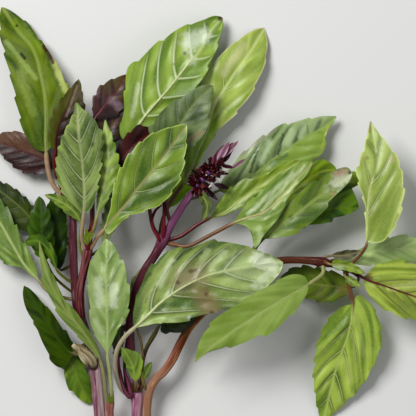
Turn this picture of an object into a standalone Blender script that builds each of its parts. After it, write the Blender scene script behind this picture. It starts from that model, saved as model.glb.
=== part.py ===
"""A cut bunch of Thai basil lying on a surface: four leafy stems gathered at their cut ends,
their toothed leaves in loose layers, and one dark flower head.

Every place is given in millimetres on the bunch's plan, x to the right and y towards the
leaf tips, with z the height over the surface that the bunch lies on.
"""

import math
import random
from dataclasses import dataclass

import bmesh
import bpy
import numpy as np
from mathutils import Matrix, Vector

MM = 0.001
PLAN_MIDDLE = (105.0, 79.5)  # the plan's point that becomes the part's origin
BLADE_HALF = 0.33  # half a leaf blade's thickness
RIM_STEPS = 5  # points across a blade, and again on its underside
SMALL_RIM_STEPS = 3  # the same on a small leaf
SMALL_LEAF = 42.0  # blades shorter than this are small leaves
ROW_PITCH = 4.6  # distance between a blade's cross-sections
STALK_PITCH = 4.0  # distance between a leaf stalk's cross-sections
STALK_FLATNESS = 0.85  # a leaf stalk's height as a share of its width
GAP = 0.3  # clear space between a leaf stalk and the stem that it grows from
STEM_SIDES = 8
STEM_PITCH = 7.0  # distance between a stem's cross-sections
SMALL_SIDES = 6  # the same for a bud and the flower's axis
SMALL_PITCH = 3.0
WAVES_ALONG = 9.0  # a blade's ruffles: turns of their wave from base to tip, in radians
WAVES_ACROSS = 2.2  # how far the wave shifts between the midrib and the edge
SHORT_STEP = 0.01  # share of a curve over which its direction is measured

COLOURS = {
    "fresh": (0.24, 0.40, 0.08),
    "pale": (0.36, 0.47, 0.20),
    "sage": (0.22, 0.32, 0.14),
    "yellow": (0.33, 0.42, 0.07),
    "dark": (0.06, 0.12, 0.03),
    "olive": (0.19, 0.24, 0.06),
    "purple": (0.13, 0.05, 0.06),
    "dusk": (0.05, 0.02, 0.03),
    "stem_purple": (0.20, 0.05, 0.09),
    "stem_brown": (0.25, 0.12, 0.06),
    "stem_pink": (0.32, 0.16, 0.14),
    "flower": (0.09, 0.02, 0.04),
}


@dataclass
class Leaf:
    """One leaf: its stalk and midrib run through `rib` from the stem's axis to the tip.

    `stalk` counts the rib's points before the blade begins. `left` and `right` are the
    blade's edges seen from above, walking from base to tip. `lift` raises each edge over
    the midrib and `wave` ruffles them.
    """

    name: str
    colour: str
    rib: list
    stalk: int
    left: list
    right: list
    lift: tuple = (1.5, 1.5)
    wave: float = 0.5
    tooth: float = 0.7
    stalk_half: float = 1.0


LEAVES = [
    Leaf(
        "leaf_left_tall", "yellow",
        rib=[(32.5, 108, 13), (30, 111.5, 12.6), (27.5, 114, 12.4), (25, 119, 12.2),
             (23.5, 126, 12), (23, 132, 11.6), (22.5, 141, 11), (22.7, 153, 10.5),
             (21, 166.5, 9.5), (16.5, 183, 6.4), (8.5, 193, 2.8), (0, 205.5, 0.12)],
        stalk=5,
        left=[(17, 134), (12, 141.5), (9.5, 150), (7, 162), (3.5, 175), (0, 188), (-1, 198)],
        right=[(29, 139), (34, 150), (35, 161), (31.5, 170), (27, 178.5), (22, 185.5),
               (14, 196), (6, 202.5)],
        lift=(0.5, 1.0), stalk_half=1.25,
    ),
    Leaf(
        "leaf_left_purple", "purple",
        rib=[(32.5, 108.5, 12), (30.5, 116, 9.5), (27, 124, 8), (23, 128, 7.5),
             (10, 133, 7), (0, 136.5, 6.5), (-6, 139, 6)],
        stalk=2,
        left=[(23, 121.5), (15, 121), (10, 122.5), (5, 126), (-2, 133)],
        right=[(24.5, 131.5), (19, 137), (12.5, 141.5), (5, 142.5), (-2, 141)],
        lift=(0.5, 1.0),
    ),
    Leaf(
        "leaf_left_purple_upright", "olive",
        rib=[(32.8, 110, 14.5), (29.5, 117, 16), (27.5, 125.5, 17.5), (28, 133, 18),
             (28.5, 140.5, 18.5), (31.5, 149.5, 19), (35, 156.5, 18.5), (39.5, 168.5, 17)],
        stalk=3,
        left=[(25.5, 135.5), (24.5, 142), (26.5, 151.5), (31, 158.5), (36.5, 165.5)],
        right=[(33.5, 135), (39, 142), (42.5, 152), (41.5, 160), (40.7, 165.5)],
        lift=(0.6, 0.6),
    ),
    Leaf(
        "leaf_left_front", "sage",
        rib=[(44, 83, 17), (42, 85, 18.6), (41, 90.5, 20.5), (41.5, 96, 21.8),
             (42, 101, 22.5), (42.5, 110, 23.5), (42, 120, 24.2), (41, 130, 24.5),
             (39.7, 140, 24.2), (38.5, 156.5, 23)],
        stalk=4,
        left=[(38.5, 104), (32, 111), (29, 118), (28.3, 127), (30, 135), (32, 141),
              (36, 149)],
        right=[(46, 104), (48.5, 111), (50.3, 121), (51.5, 132), (51.8, 140), (46.5, 149),
               (41, 154)],
        lift=(1.2, 1.0),
    ),
    Leaf(
        "leaf_left_front_narrow", "fresh",
        rib=[(45, 89, 14), (47.2, 94, 17.5), (48.6, 100, 20), (51, 110, 20.8),
             (53.3, 120.5, 21.4), (54.3, 130.5, 21.6), (53.6, 139, 21.4), (52.6, 148, 21)],
        stalk=2,
        left=[(48.4, 106), (49, 118), (49.6, 129), (51, 140)],
        right=[(52.2, 104.5), (55.5, 111), (58.5, 119), (60, 126), (58.3, 133), (55.5, 142)],
        lift=(-0.8, 0.6), stalk_half=0.9,
    ),
    Leaf(
        "leaf_centre_upper", "pale",
        rib=[(44, 83, 17), (46.4, 85, 19.6), (48.5, 89, 21.6), (52.5, 93.5, 22.6),
             (57.5, 99.5, 23.6), (64, 107, 25), (68.5, 113, 25.8), (75, 121, 26.5),
             (82.5, 130.5, 26), (93.5, 145.5, 23)],
        stalk=3,
        left=[(53.5, 97), (55.5, 104), (56.5, 112), (59, 120.5), (63, 128), (70, 136.5),
              (77.5, 141.5), (85, 144.2), (90, 145.5)],
        right=[(54.5, 91), (59, 95), (64, 99.5), (72.5, 102.5), (81.5, 106.5), (88, 114.5),
               (91.5, 123), (93, 133), (93.5, 140)],
        lift=(1.6, 1.2),
    ),
    Leaf(
        "leaf_purple_glossy", "purple",
        rib=[(46.3, 142, 12), (46.3, 145.5, 13.2), (47.2, 148.5, 13.2), (50.5, 153, 12.8),
             (54.5, 158, 11.8), (58.5, 163, 11), (63, 171, 9.8)],
        stalk=2,
        left=[(46, 154), (46.8, 160), (50.4, 165.2), (57, 169)],
        right=[(52, 148.6), (58, 150.5), (62, 155), (63.4, 163)],
        lift=(0.8, -0.3), wave=0.2, stalk_half=0.8,
    ),
    Leaf(
        "leaf_purple_back", "purple",
        rib=[(46.3, 128, 12), (48, 131.5, 11.2), (50, 135, 10.6), (54.5, 143, 10),
             (62, 154, 9.2)],
        stalk=2,
        left=[(48.2, 139.5), (48.2, 144.5), (46.8, 149.5), (50.4, 154), (57, 156)],
        right=[(55, 135), (60.5, 139.5), (63, 147)],
        lift=(0.6, 0.6), stalk_half=0.8,
    ),
    Leaf(
        "leaf_purple_dark", "dusk",
        rib=[(46.3, 113, 12), (52, 117, 14), (57.5, 122.5, 15.8), (62, 129.5, 16.4),
             (69, 137, 16.6), (78, 142.5, 16)],
        stalk=2,
        left=[(57.6, 129.5), (59.5, 135.5), (64, 141), (69.5, 145.5), (74, 144.5)],
        right=[(62, 125), (67.5, 129), (73.5, 134), (77.5, 139)],
        lift=(0.8, 0.5), stalk_half=0.8,
    ),
    Leaf(
        "leaf_top_large", "pale",
        rib=[(81.5, 88, 14), (79, 90.5, 12.4), (76, 96, 11.5), (74, 108, 11),
             (71, 124, 11), (68.5, 136, 11.3), (68.3, 141.5, 11.5), (70, 146.5, 11.8),
             (75, 153, 12.2), (85, 164.5, 12.5), (92.5, 174, 12), (100, 183, 10.5),
             (106, 193, 8), (111.3, 199.7, 5)],
        stalk=6,
        left=[(61.5, 138.5), (59.8, 144), (62, 153), (62.3, 162), (62.8, 169), (64.5, 174.8),
              (70, 179), (77.5, 185.5), (86, 191.8), (94, 195.8), (102.5, 198.6),
              (107.5, 200.2)],
        right=[(73, 141), (82, 147), (92, 156), (100.5, 167.5), (105.8, 178), (109.5, 188),
               (111.3, 195.5)],
        lift=(1.2, 0.6), stalk_half=1.0,
    ),
    Leaf(
        "leaf_top_long", "fresh",
        rib=[(81.5, 90.5, 15), (82, 100, 12), (86, 108, 10.6), (91.5, 116.5, 9.6),
             (95, 122, 9.2), (99, 132.5, 8.8), (103.8, 143, 8.4), (107, 155, 8),
             (115, 168, 7), (120, 175.5, 5.8), (126, 184, 3.6), (130.2, 191, 1.3),
             (132.5, 194.8, -0.1)],
        stalk=3,
        left=[(92, 122), (94, 135), (96, 148), (98, 158), (101, 168), (106, 176.5),
              (113, 183.5), (120, 189.5), (127.5, 193.8)],
        right=[(95.5, 118), (98.8, 125), (102, 131), (106.5, 139), (112, 145.5),
               (118, 151.5), (123.8, 158.5), (128.5, 166.5), (132.2, 175.5), (134, 186)],
        lift=(0.8, 0.5),
    ),
    Leaf(
        "leaf_top_back", "dark",
        rib=[(78.5, 82.5, 13.5), (79.5, 90, 8.4), (81, 98, 6.6), (83.5, 104, 6),
             (89, 118, 5.6), (93, 131, 5.2), (97, 146, 4.6)],
        stalk=3,
        left=[(83.5, 112), (86.5, 124), (90.5, 136), (94.5, 143)],
        right=[(88.5, 106), (95.5, 114), (98.5, 126), (99.5, 138)],
        lift=(0.3, 0.3), stalk_half=0.8,
    ),
    Leaf(
        "leaf_top_grey", "sage",
        rib=[(85.5, 95.5, 15.5), (83.5, 103, 17), (82.8, 112, 17.4), (83.3, 122, 17.4),
             (84.5, 132, 17.6), (88, 141.5, 18), (92.5, 149.5, 18), (97.5, 156.5, 17.6),
             (103.5, 162.3, 16.8), (106.7, 165.2, 16)],
        stalk=4,
        left=[(78, 135.5), (74.8, 143), (77.5, 148.5), (83, 154), (92.5, 160.8),
              (101.5, 165.2)],
        right=[(90, 131.5), (95.5, 134.5), (100.5, 138.5), (103.3, 143.5), (104.8, 149),
               (105.8, 156), (106.6, 162)],
        lift=(0.6, 1.0), stalk_half=0.9,
    ),
    Leaf(
        "leaf_flower_back", "fresh",
        rib=[(93.5, 108, 17.5), (99, 109.5, 12.5), (104.5, 110.5, 10), (109, 112.5, 8.6),
             (125, 119.5, 8), (137.5, 129, 7.6), (145, 134.5, 7.4), (152.5, 139.3, 7),
             (160, 143.5, 6), (168.5, 150, 4.5)],
        stalk=3,
        left=[(110.5, 116.5), (113.8, 122), (117.5, 127), (121.5, 131.8), (130, 139),
              (140, 145.2), (152, 148.2), (160, 150)],
        right=[(117, 111), (130, 115.5), (145, 121.5), (157, 127.5), (162, 133),
               (164, 142.5), (167.3, 147.5)],
        lift=(0.8, 0.6), stalk_half=0.8,
    ),
    Leaf(
        "leaf_flower_front_upper", "yellow",
        rib=[(84, 88, 14.5), (90, 89.7, 15), (95, 93, 15.8), (100, 96.5, 16.2),
             (105.5, 99.2, 16.3), (112.5, 101.8, 16.4), (120, 108, 16.6), (131, 116, 16.8),
             (142.5, 123, 16.4), (151, 128, 15.4)],
        stalk=4,
        left=[(106.5, 102), (109, 106), (112, 110.5), (116, 114.4), (122, 118.4),
              (128, 119.2), (134, 121.6), (141, 125.4), (146, 127.6)],
        right=[(109.5, 99.8), (114.5, 101.4), (120.5, 104.5), (124.5, 107), (130, 110),
               (136, 113.5), (143, 120.5), (148, 125.5)],
        lift=(0.6, 0.6),
    ),
    Leaf(
        "leaf_flower_front_lower", "fresh",
        rib=[(86, 86, 15), (92.5, 84.7, 16.5), (97.5, 86.3, 17.8), (102.5, 89, 19),
             (110, 93, 21), (116.5, 96.4, 22.6), (124, 99.3, 23.6), (132.5, 102, 24.4),
             (140, 109, 24.8), (148.5, 118, 24.4), (156, 126.7, 23.2)],
        stalk=5,
        left=[(120, 101.6), (124, 107), (131, 113.2), (137.5, 118.4), (145, 124),
              (151.5, 126.8)],
        right=[(120, 95.9), (123.6, 94.4), (125.9, 90.6), (127.2, 84.4), (130.4, 87.8),
               (132.6, 91), (135.6, 94.8), (138.6, 98.6), (141.6, 104), (144.4, 109.6),
               (150, 117), (154, 122)],
        lift=(0.6, 0.4),
    ),
    Leaf(
        "leaf_right_middle", "fresh",
        rib=[(121, 67.5, 13), (124, 76, 16.6), (127.2, 84, 18.8), (131, 89.5, 20),
             (142.5, 97, 21.6), (155, 106.5, 22.4), (166, 114.7, 22), (176, 121.5, 20)],
        stalk=3,
        left=[(134.5, 96.5), (141, 104), (150, 112), (160, 119), (168.5, 123.2),
              (173.5, 124)],
        right=[(134.5, 88.6), (143, 90), (150, 92.8), (156, 97), (162.5, 103.8), (168, 110.6),
               (174, 117)],
        lift=(0.8, 0.9),
    ),
    Leaf(
        "leaf_right_olive", "olive",
        rib=[(128.5, 73.4, 14.2), (127.6, 79, 10.4), (127.8, 85, 9.4), (131.5, 93, 9.8),
             (139, 101, 10.6), (148, 113, 11.2), (159, 121.5, 11.4), (168.5, 123.4, 10.8)],
        stalk=4,
        left=[(139.5, 109), (147, 120), (157, 127.5), (163, 128), (166.5, 125.8)],
        right=[(144, 102), (152, 108), (160, 114.5), (166, 120)],
        lift=(0.6, 0.4), stalk_half=0.8,
    ),
    Leaf(
        "leaf_right_dark", "dark",
        rib=[(123.2, 69.4, 13.4), (126, 76.5, 14.4), (127.8, 84, 15.6), (133, 89.8, 16.4),
             (140.5, 92.6, 16.8), (150, 98, 17), (165, 103.5, 16.8), (179.5, 104, 16)],
        stalk=4,
        left=[(143, 99), (153, 109), (165, 116), (173.5, 116.8), (177.5, 110)],
        right=[(146, 91.5), (150.5, 94), (157.5, 95.5), (165, 97.5), (174, 101)],
        lift=(0.3, 0.3), stalk_half=0.9,
    ),
    Leaf(
        "leaf_right_pointed", "olive",
        rib=[(125.6, 71.2, 13.8), (126.6, 77.6, 12), (127.8, 84.5, 12.2), (133, 91.5, 12.8),
             (143, 98, 13.4), (157, 104, 14), (168, 114.5, 14), (184.5, 119.2, 13)],
        stalk=5,
        left=[(158, 111), (165, 118), (172, 121.8), (179, 121.8)],
        right=[(162, 104), (170, 109), (178, 115)],
        lift=(0.2, 0.2), wave=0.2, stalk_half=0.8,
    ),
    Leaf(
        "leaf_right_upright", "yellow",
        rib=[(172.5, 74.5, 18.5), (175, 76, 19.8), (178.5, 79, 21), (181.7, 83, 22),
             (183.3, 87, 22.6), (183.4, 93, 23), (183.4, 101, 23.4), (184.5, 113, 23),
             (187.6, 124, 22), (187.8, 132, 21), (186.3, 140, 19.5), (185, 147.5, 17.5)],
        stalk=4,
        left=[(182.6, 92), (182.3, 99), (181.8, 107), (178.9, 116), (178, 123),
              (181.2, 132.5), (183, 139.5)],
        right=[(190, 87), (194.5, 91), (198.5, 97.5), (200.8, 106), (201.6, 112),
               (201, 119), (199.3, 127), (196.5, 132), (191.5, 138.5), (188.3, 143)],
        lift=(0.4, 1.4), stalk_half=0.8,
    ),
    Leaf(
        "leaf_right_edge_grey", "sage",
        rib=[(161, 77, 18), (164.5, 77.3, 15.6), (168, 78.3, 14.4), (176, 80.3, 13.6),
             (188, 82.5, 13), (202, 83.5, 11.5), (222.5, 81.5, 7.5)],
        stalk=2,
        left=[(170, 80.8), (180, 83.6), (187, 87), (194, 89.6), (202.5, 90.3), (210, 88.5),
              (217, 85.5)],
        right=[(172.5, 76.3), (180, 75.4), (190, 75.4), (201, 76.5), (212, 77.5)],
        lift=(0.6, -0.4), stalk_half=0.8,
    ),
    Leaf(
        "leaf_right_edge_striped", "yellow",
        rib=[(179, 70.5, 19), (181.5, 69.2, 20.2), (185, 67.5, 20.8), (192.5, 65, 21),
             (200, 62.3, 20.4), (208, 59.5, 19), (217, 55.5, 16.5), (225, 52, 14)],
        stalk=1,
        left=[(184, 71.8), (187, 75), (191.5, 77), (199, 77.8), (208, 75.8), (217, 68.5),
              (222, 60)],
        right=[(182.3, 64.8), (184.5, 60.5), (188.5, 56), (196, 51.5), (206, 48),
               (216, 47.6)],
        lift=(1.0, 1.0), stalk_half=0.8,
    ),
    Leaf(
        "leaf_right_hanging", "fresh",
        rib=[(173, 74, 18.5), (174, 67, 17.2), (175.3, 62, 16.4), (176.3, 55.5, 15),
             (175.8, 47, 13.6), (173.4, 38, 11.6), (170.5, 29.5, 9.2), (167.5, 20.5, 6.6),
             (165, 10.5, 3.7), (162.8, 1, 1.2), (161, -4.5, 0.16)],
        stalk=3,
        left=[(179, 60.5), (185, 56.5), (189, 49.7), (191, 41), (190.4, 34), (187, 24.8),
              (182.5, 16.8), (177, 9.7), (170.5, 3.5), (165.5, -1.5)],
        right=[(172, 55), (166.5, 51), (161.3, 43.5), (158.5, 35), (157.2, 26), (157, 18),
               (157.8, 10), (159.3, 2)],
        lift=(0.8, 0.8), stalk_half=0.9,
    ),
    Leaf(
        "leaf_right_long_low", "pale",
        rib=[(161, 77, 18.5), (161.5, 72, 20.6), (158.5, 69, 22), (154, 66, 23.2),
             (145, 60.5, 26.6), (132.5, 53.2, 29.6), (120, 45.2, 29.6), (109, 37.4, 27.6),
             (97.5, 27, 24)],
        stalk=3,
        left=[(153.5, 62), (149, 55), (144, 49), (136, 43), (126, 38.6), (112, 34.2),
              (103.5, 31.8)],
        right=[(152, 70), (146, 71), (139, 68), (131, 63.8), (121.5, 58.2), (110.5, 51),
               (103.5, 44.7), (99.6, 37)],
        lift=(-0.8, 0.8),
    ),
    Leaf(
        "leaf_right_back_dark", "dark",
        rib=[(179, 70.5, 19), (179.2, 68, 14), (178, 65.3, 11), (175, 64.2, 10.2),
             (165, 65, 9.8), (152, 66.5, 9.4), (139, 67, 8.5)],
        stalk=3,
        left=[(172.5, 59.8), (163.5, 56.7), (153, 59), (145, 62.8)],
        right=[(171, 70.5), (160, 74), (150, 75), (143, 72)],
        lift=(0.4, 0.4), stalk_half=0.7,
    ),
    Leaf(
        "young_leaf_right_upper", "yellow",
        rib=[(161, 77.3, 18.5), (163, 76.8, 21.4), (165.3, 75.8, 22.8), (172.5, 75.2, 24.6),
             (182, 71.6, 25)],
        stalk=2,
        left=[(167, 78), (173, 77.6), (178.5, 74.8)],
        right=[(167.5, 73.6), (173, 72.8), (178, 71.4)],
        lift=(0.6, 0.6), wave=0.2, tooth=0.3, stalk_half=0.8,
    ),
    Leaf(
        "young_leaf_right_back", "pale",
        rib=[(159, 77.2, 17.6), (162, 79.6, 18), (165, 80, 18.6), (172.5, 80.4, 18.8),
             (180, 82.6, 18.4)],
        stalk=2,
        left=[(168, 81.8), (174, 83)],
        right=[(170, 78.2), (176, 79)],
        lift=(0.6, 0.3), wave=0.1, tooth=0.2, stalk_half=0.7,
    ),
    Leaf(
        "young_leaf_right_lower", "yellow",
        rib=[(172.5, 74, 18.5), (172, 71.6, 20.4), (172.8, 69.6, 21.4), (176, 67.4, 22.4),
             (180.5, 65, 23)],
        stalk=2,
        left=[(175, 70), (178, 68)],
        right=[(172.6, 67.2), (176, 65)],
        lift=(0.4, 0.4), wave=0.1, tooth=0.2, stalk_half=0.7,
    ),
    Leaf(
        "leaf_centre_large", "pale",
        rib=[(67, 9, 4), (61.5, 12, 8), (58.7, 18, 12), (57.6, 25.5, 17), (58.6, 33, 22),
             (62.3, 39.5, 25), (67.5, 44.5, 26.5), (74, 50.5, 27.4), (80, 56.5, 27.8),
             (87.5, 62, 27.8), (95, 66.5, 27.4), (103.5, 70.2, 27), (113, 72.7, 26.4),
             (124, 74.8, 25.6), (134, 76.6, 24.2), (141.5, 77, 22.8)],
        stalk=6,
        left=[(66.8, 50), (67.6, 56), (69.8, 64), (75, 74), (82, 81.2), (88, 83.4),
              (98, 85.2), (107.5, 87.8), (115, 86.8), (125, 84.2), (131.5, 81.8),
              (137, 79.4)],
        right=[(72.8, 45.4), (78, 46.8), (85, 46.8), (92.5, 48), (102.5, 51.3), (114, 53.6),
               (125, 59), (134, 65.2), (140, 72.2)],
        lift=(1.0, 0.9), stalk_half=1.1,
    ),
    Leaf(
        "leaf_centre_silver", "pale",
        rib=[(55.2, 8, 11), (55.8, 12, 15.2), (54.8, 23, 17.8), (53.8, 31, 19.2),
             (54, 43, 20.6), (53.6, 53, 21.6), (53.4, 63, 22), (53, 71, 22), (53.8, 81, 21),
             (53, 89, 19.5)],
        stalk=3,
        left=[(50, 37), (47.5, 41), (45.5, 46), (45.2, 53), (44.6, 60.5), (44, 68),
              (46, 78), (49, 83.3), (51.5, 86.8)],
        right=[(56.5, 37.5), (59, 43), (62.3, 47.6), (64.2, 52.5), (65, 57), (64.3, 67),
               (62, 76), (57.5, 84.8)],
        lift=(0.9, 0.9), stalk_half=0.9,
    ),
    Leaf(
        "leaf_left_diagonal", "fresh",
        rib=[(54.9, 4.5, 10), (53.2, 9.5, 13.6), (52.2, 18.5, 16.8), (50.2, 28, 18.6),
             (46.3, 35.5, 20), (40, 44.5, 21.2), (33, 53, 21.8), (27.2, 63, 22),
             (23.2, 73, 21.6), (19.6, 87.5, 20)],
        stalk=3,
        left=[(47, 31.5), (42.3, 36.5), (35, 44), (28.7, 52.3), (23.7, 62.5), (21, 70.5),
              (20, 79)],
        right=[(49.3, 33.5), (45.2, 42), (39.2, 51), (32.6, 58.5), (26.6, 70.5),
               (22.2, 80.5)],
        lift=(-2.4, 1.2), wave=0.15, tooth=0.4, stalk_half=0.9,
    ),
    Leaf(
        "leaf_low_left_dark", "dark",
        rib=[(41, 31, 11), (39, 31, 9.4), (36.6, 31.2, 8.6), (34, 32, 8.6),
             (29.6, 37, 9.4), (25, 44, 9.6), (20, 52, 8.8), (15, 60, 7.2), (11.5, 65, 6)],
        stalk=2,
        left=[(33, 25), (29.8, 24), (26.5, 26.5), (24, 30.5), (21.3, 36), (18.5, 43.5),
              (15, 48.5), (12.3, 54.5), (11.2, 60.5)],
        right=[(38.6, 33.5), (36, 36.8), (31.5, 43.7), (26.5, 50.2), (21, 56.7), (15, 63)],
        lift=(0.5, 0.8), stalk_half=1.3,
    ),
    Leaf(
        "leaf_low_left_under", "fresh",
        rib=[(44.4, 36.5, 9.8), (41, 35, 6.4), (37.2, 32, 5.2), (36.8, 25.5, 4.6),
             (39, 17, 3.6), (45.2, 5.4, 1.2)],
        stalk=2,
        left=[(41, 26.5), (44.4, 19), (46.6, 11)],
        right=[(32, 27.5), (30.9, 22), (32.6, 17), (35, 12.4), (38.5, 8.6), (42.5, 6)],
        lift=(-0.3, 0.5), stalk_half=0.8,
    ),
    Leaf(
        "leaf_left_small_bright", "fresh",
        rib=[(42.6, 77, 16), (40, 84, 16.6), (40, 91, 17.2), (40.6, 96.5, 18),
             (37.4, 102, 18.6), (32.5, 106, 18.8), (27.5, 108.6, 18.6), (22.5, 110.5, 18)],
        stalk=3,
        left=[(37.8, 98.5), (34, 100.7), (31.5, 103), (28.5, 105.5), (25, 108.4)],
        right=[(40.3, 101.5), (37.5, 105.5), (35, 108), (32.5, 109.6), (29, 110.8),
               (25.5, 111)],
        lift=(0.3, 0.3), wave=0.2, tooth=0.3, stalk_half=0.7,
    ),
    Leaf(
        "leaf_edge_left_dark", "dark",
        rib=[(36.5, 84, 13), (35.9, 84.3, 8.6), (33, 86.5, 5.6), (26, 90.5, 4.8),
             (18, 95, 4.6), (10, 104, 4.2), (0, 112, 3.6), (-10, 118, 2.6)],
        stalk=4,
        left=[(14, 91.8), (7, 95), (0, 101), (-6, 109)],
        right=[(18.4, 101.5), (12.5, 109), (5, 115), (-3, 118.4)],
        lift=(0.2, 0.2), stalk_half=0.7,
    ),
    Leaf(
        "leaf_edge_left_light", "fresh",
        rib=[(38, 58, 12.8), (30, 59.5, 12), (23, 63, 11.2), (19, 68, 10.6), (15, 72, 10.2),
             (11, 77, 9.8), (7.5, 83, 9.4), (4, 89, 9), (0, 96, 8.6), (-8, 106, 7.6),
             (-15, 113, 6.4)],
        stalk=3,
        left=[(16, 69.5), (12, 73.4), (7.5, 74.8), (2, 76.5), (-4, 82), (-9.5, 91),
              (-13.5, 102)],
        right=[(18.4, 73), (16, 79), (13.5, 83.5), (10, 89.5), (7, 97), (3.5, 103.5),
               (-1, 109.5), (-8, 113)],
        lift=(0.8, 0.8), stalk_half=0.9,
    ),
    Leaf(
        "leaf_left_small_serrated", "dark",
        rib=[(38.2, 60.5, 13.4), (32, 65, 13.8), (26.5, 70.5, 14.4), (23, 78, 14.8),
             (21, 90, 15), (20.5, 100, 14.8), (19.5, 110, 14)],
        stalk=3,
        left=[(17.5, 81), (14.3, 90), (14.8, 99), (17.3, 106.5)],
        right=[(27, 82), (27, 90.5), (25.2, 100.5), (22, 107.5)],
        lift=(0.3, 0.3), stalk_half=0.7,
    ),
    Leaf(
        "leaf_left_curled", "fresh",
        rib=[(37.2, 66, 13.4), (32.5, 69, 15.6), (28.2, 73.5, 16.8), (25.3, 81.5, 17.8),
             (19.5, 87.5, 18), (12.5, 87, 17.4)],
        stalk=2,
        left=[(26, 76), (22.4, 81.8), (17, 84.5), (14, 85.3)],
        right=[(28.6, 78), (27, 83.5), (22, 90), (16, 90.6)],
        lift=(-0.8, 0.4), wave=0.3, tooth=0.4, stalk_half=0.7,
    ),
    Leaf(
        "leaf_left_behind", "dark",
        rib=[(36.6, 76, 13), (33, 74, 10.6), (29.6, 73, 9.4), (28.5, 80, 9), (28.2, 90, 9),
             (27.8, 100, 8.8), (27.2, 112, 8.2)],
        stalk=2,
        left=[(23.5, 80), (22, 92), (23, 104)],
        right=[(32.5, 79), (33.7, 92), (31.5, 106)],
        lift=(0.2, 0.2), stalk_half=0.7,
    ),
    Leaf(
        "young_leaf_low_upper", "fresh",
        rib=[(68.5, 10, 5), (68.2, 13.5, 10), (67.5, 17, 12.6), (66.5, 24, 13.6),
             (63.8, 30, 13.8), (60.5, 34.5, 13.4)],
        stalk=2,
        left=[(65.2, 20), (62.8, 25.5), (60.8, 30.5)],
        right=[(70.2, 20), (71.3, 28), (68.8, 31.8), (64, 33.4)],
        lift=(0.3, 0.3), wave=0.2, tooth=0.3, stalk_half=0.8,
    ),
    Leaf(
        "young_leaf_low_lower", "fresh",
        rib=[(69, 10.5, 5), (71, 14, 9.6), (71.8, 17.5, 12), (73.6, 22, 12.8),
             (76, 27, 13)],
        stalk=2,
        left=[(71.2, 21), (73, 25.5)],
        right=[(74, 19.5), (75.8, 23.5)],
        lift=(0.2, 0.2), wave=0.1, tooth=0.2, stalk_half=0.7,
    ),
    Leaf(
        "leaf_centre_shadow", "dark",
        rib=[(67, 9, 4.4), (63, 15, 3), (62, 25, 3), (63, 36, 3.2), (65.6, 48, 3.4),
             (68, 58, 3.6), (71.5, 74, 3.6)],
        stalk=4,
        left=[(63.2, 54), (64.4, 64), (67.5, 71)],
        right=[(70.5, 54), (73.4, 64), (73.4, 70)],
        lift=(0.2, 0.2), wave=0.2, stalk_half=0.8,
    ),
    Leaf(
        "leaf_low_centre_dark", "dark",
        rib=[(67, 9.2, 4.6), (62, 14, 4.8), (60, 21, 6), (58.8, 27, 7.6), (59.2, 37, 8.4),
             (61, 48.5, 8.6)],
        stalk=3,
        left=[(56.4, 31.5), (56.2, 40.5), (58.6, 46.5)],
        right=[(60.9, 31.5), (61.4, 40)],
        lift=(0.1, 0.1), wave=0.1, stalk_half=0.8,
    ),
    Leaf(
        "leaf_under_large", "dark",
        rib=[(69.5, 11, 6), (70.6, 19, 8), (71, 25, 9), (72, 31, 10), (74.2, 36.5, 11.5),
             (77.5, 42, 13), (81, 46.5, 14), (89, 46.8, 14.6), (99, 50, 14.4)],
        stalk=6,
        left=[(84, 51), (93, 53)],
        right=[(80.5, 42.2), (87, 41.4), (94, 43.6)],
        lift=(0.2, 0.2), stalk_half=0.8,
    ),
    Leaf(
        "leaf_centre_strip", "dark",
        rib=[(42.8, 79, 16), (47.5, 81.5, 14.6), (51.5, 86, 14.4), (54, 97, 14.8),
             (55.8, 112, 14.6)],
        stalk=2,
        left=[(50.6, 92), (51.5, 102)],
        right=[(56.5, 91), (58.4, 102)],
        lift=(0.2, 0.2), wave=0.2, stalk_half=0.7,
    ),
    Leaf(
        "leaf_under_flower", "pale",
        rib=[(94.5, 109.5, 18), (98.5, 110.5, 20.2), (101.5, 109.6, 21), (103.6, 105.4, 21),
             (103, 101.5, 20.6), (101.3, 97.8, 19.8)],
        stalk=1,
        left=[(102, 112), (105.6, 106.4), (105, 101.5)],
        right=[(100, 108), (101.6, 104.6), (101, 101)],
        lift=(0.8, 0.8), wave=0.1, tooth=0.2, stalk_half=0.6,
    ),
]

# Each stem's points are (x, y, z, radius), from its cut end upwards.
STEM_LEFT = [
    (51.6, -42, 3, 3), (51.2, -33, 3, 3), (50.9, -24, 3.04, 3), (50.1, -8, 3.5, 3),
    (49.6, 0, 4.2, 3), (49, 8, 5.3, 3), (48, 18, 7, 3), (46.8, 27, 8.6, 2.8),
    (44.4, 36.5, 10.2, 2.6), (40.9, 46, 11.8, 2.6), (38.6, 54, 12.6, 2.3), (37.5, 63, 13, 2.1),
    (36.5, 83, 13, 2.0), (36.3, 98, 13, 1.9), (34.2, 106, 13, 2.0), (32.5, 109, 13.2, 2.2),
    (31.4, 112, 14.4, 1.0),
]
STEM_LEFT_FORK = [
    (42.8, 41.5, 11, 1.6), (40.6, 50, 12.8, 2.1), (40, 57, 14, 2.2), (40.2, 64, 14.8, 2.1),
    (42, 73, 15.8, 2.1), (43.8, 81.5, 16.6, 2.3), (44.4, 86, 16, 1.6), (45.4, 92, 13.4, 1.3),
    (46, 99, 12, 1.2), (46.4, 125, 12, 1.0), (46.2, 145, 12, 0.7),
]
STEM_LEFT_BUD = [(43.8, 81.5, 16.6, 1.2), (44.2, 86.4, 20.4, 1.3), (44.4, 92.5, 23.6, 0.5)]
STEM_LEFT_SHEATH = [
    (46.6, 26, 9, 2.0), (43.4, 29.6, 10.8, 2.1), (39.6, 32.6, 11.4, 1.9), (36.4, 35, 11.4, 1.1),
]
STEM_SLIM = [
    (57.4, -38, 2.3, 2.3), (56.8, -24, 2.6, 2.3), (56, -10, 4.6, 2.2), (54.6, 0, 7.6, 2.1),
    (54.8, 5.5, 10.2, 2.3), (55.4, 9.5, 11.4, 1.6), (56, 12.5, 11.6, 0.7),
]
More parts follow.
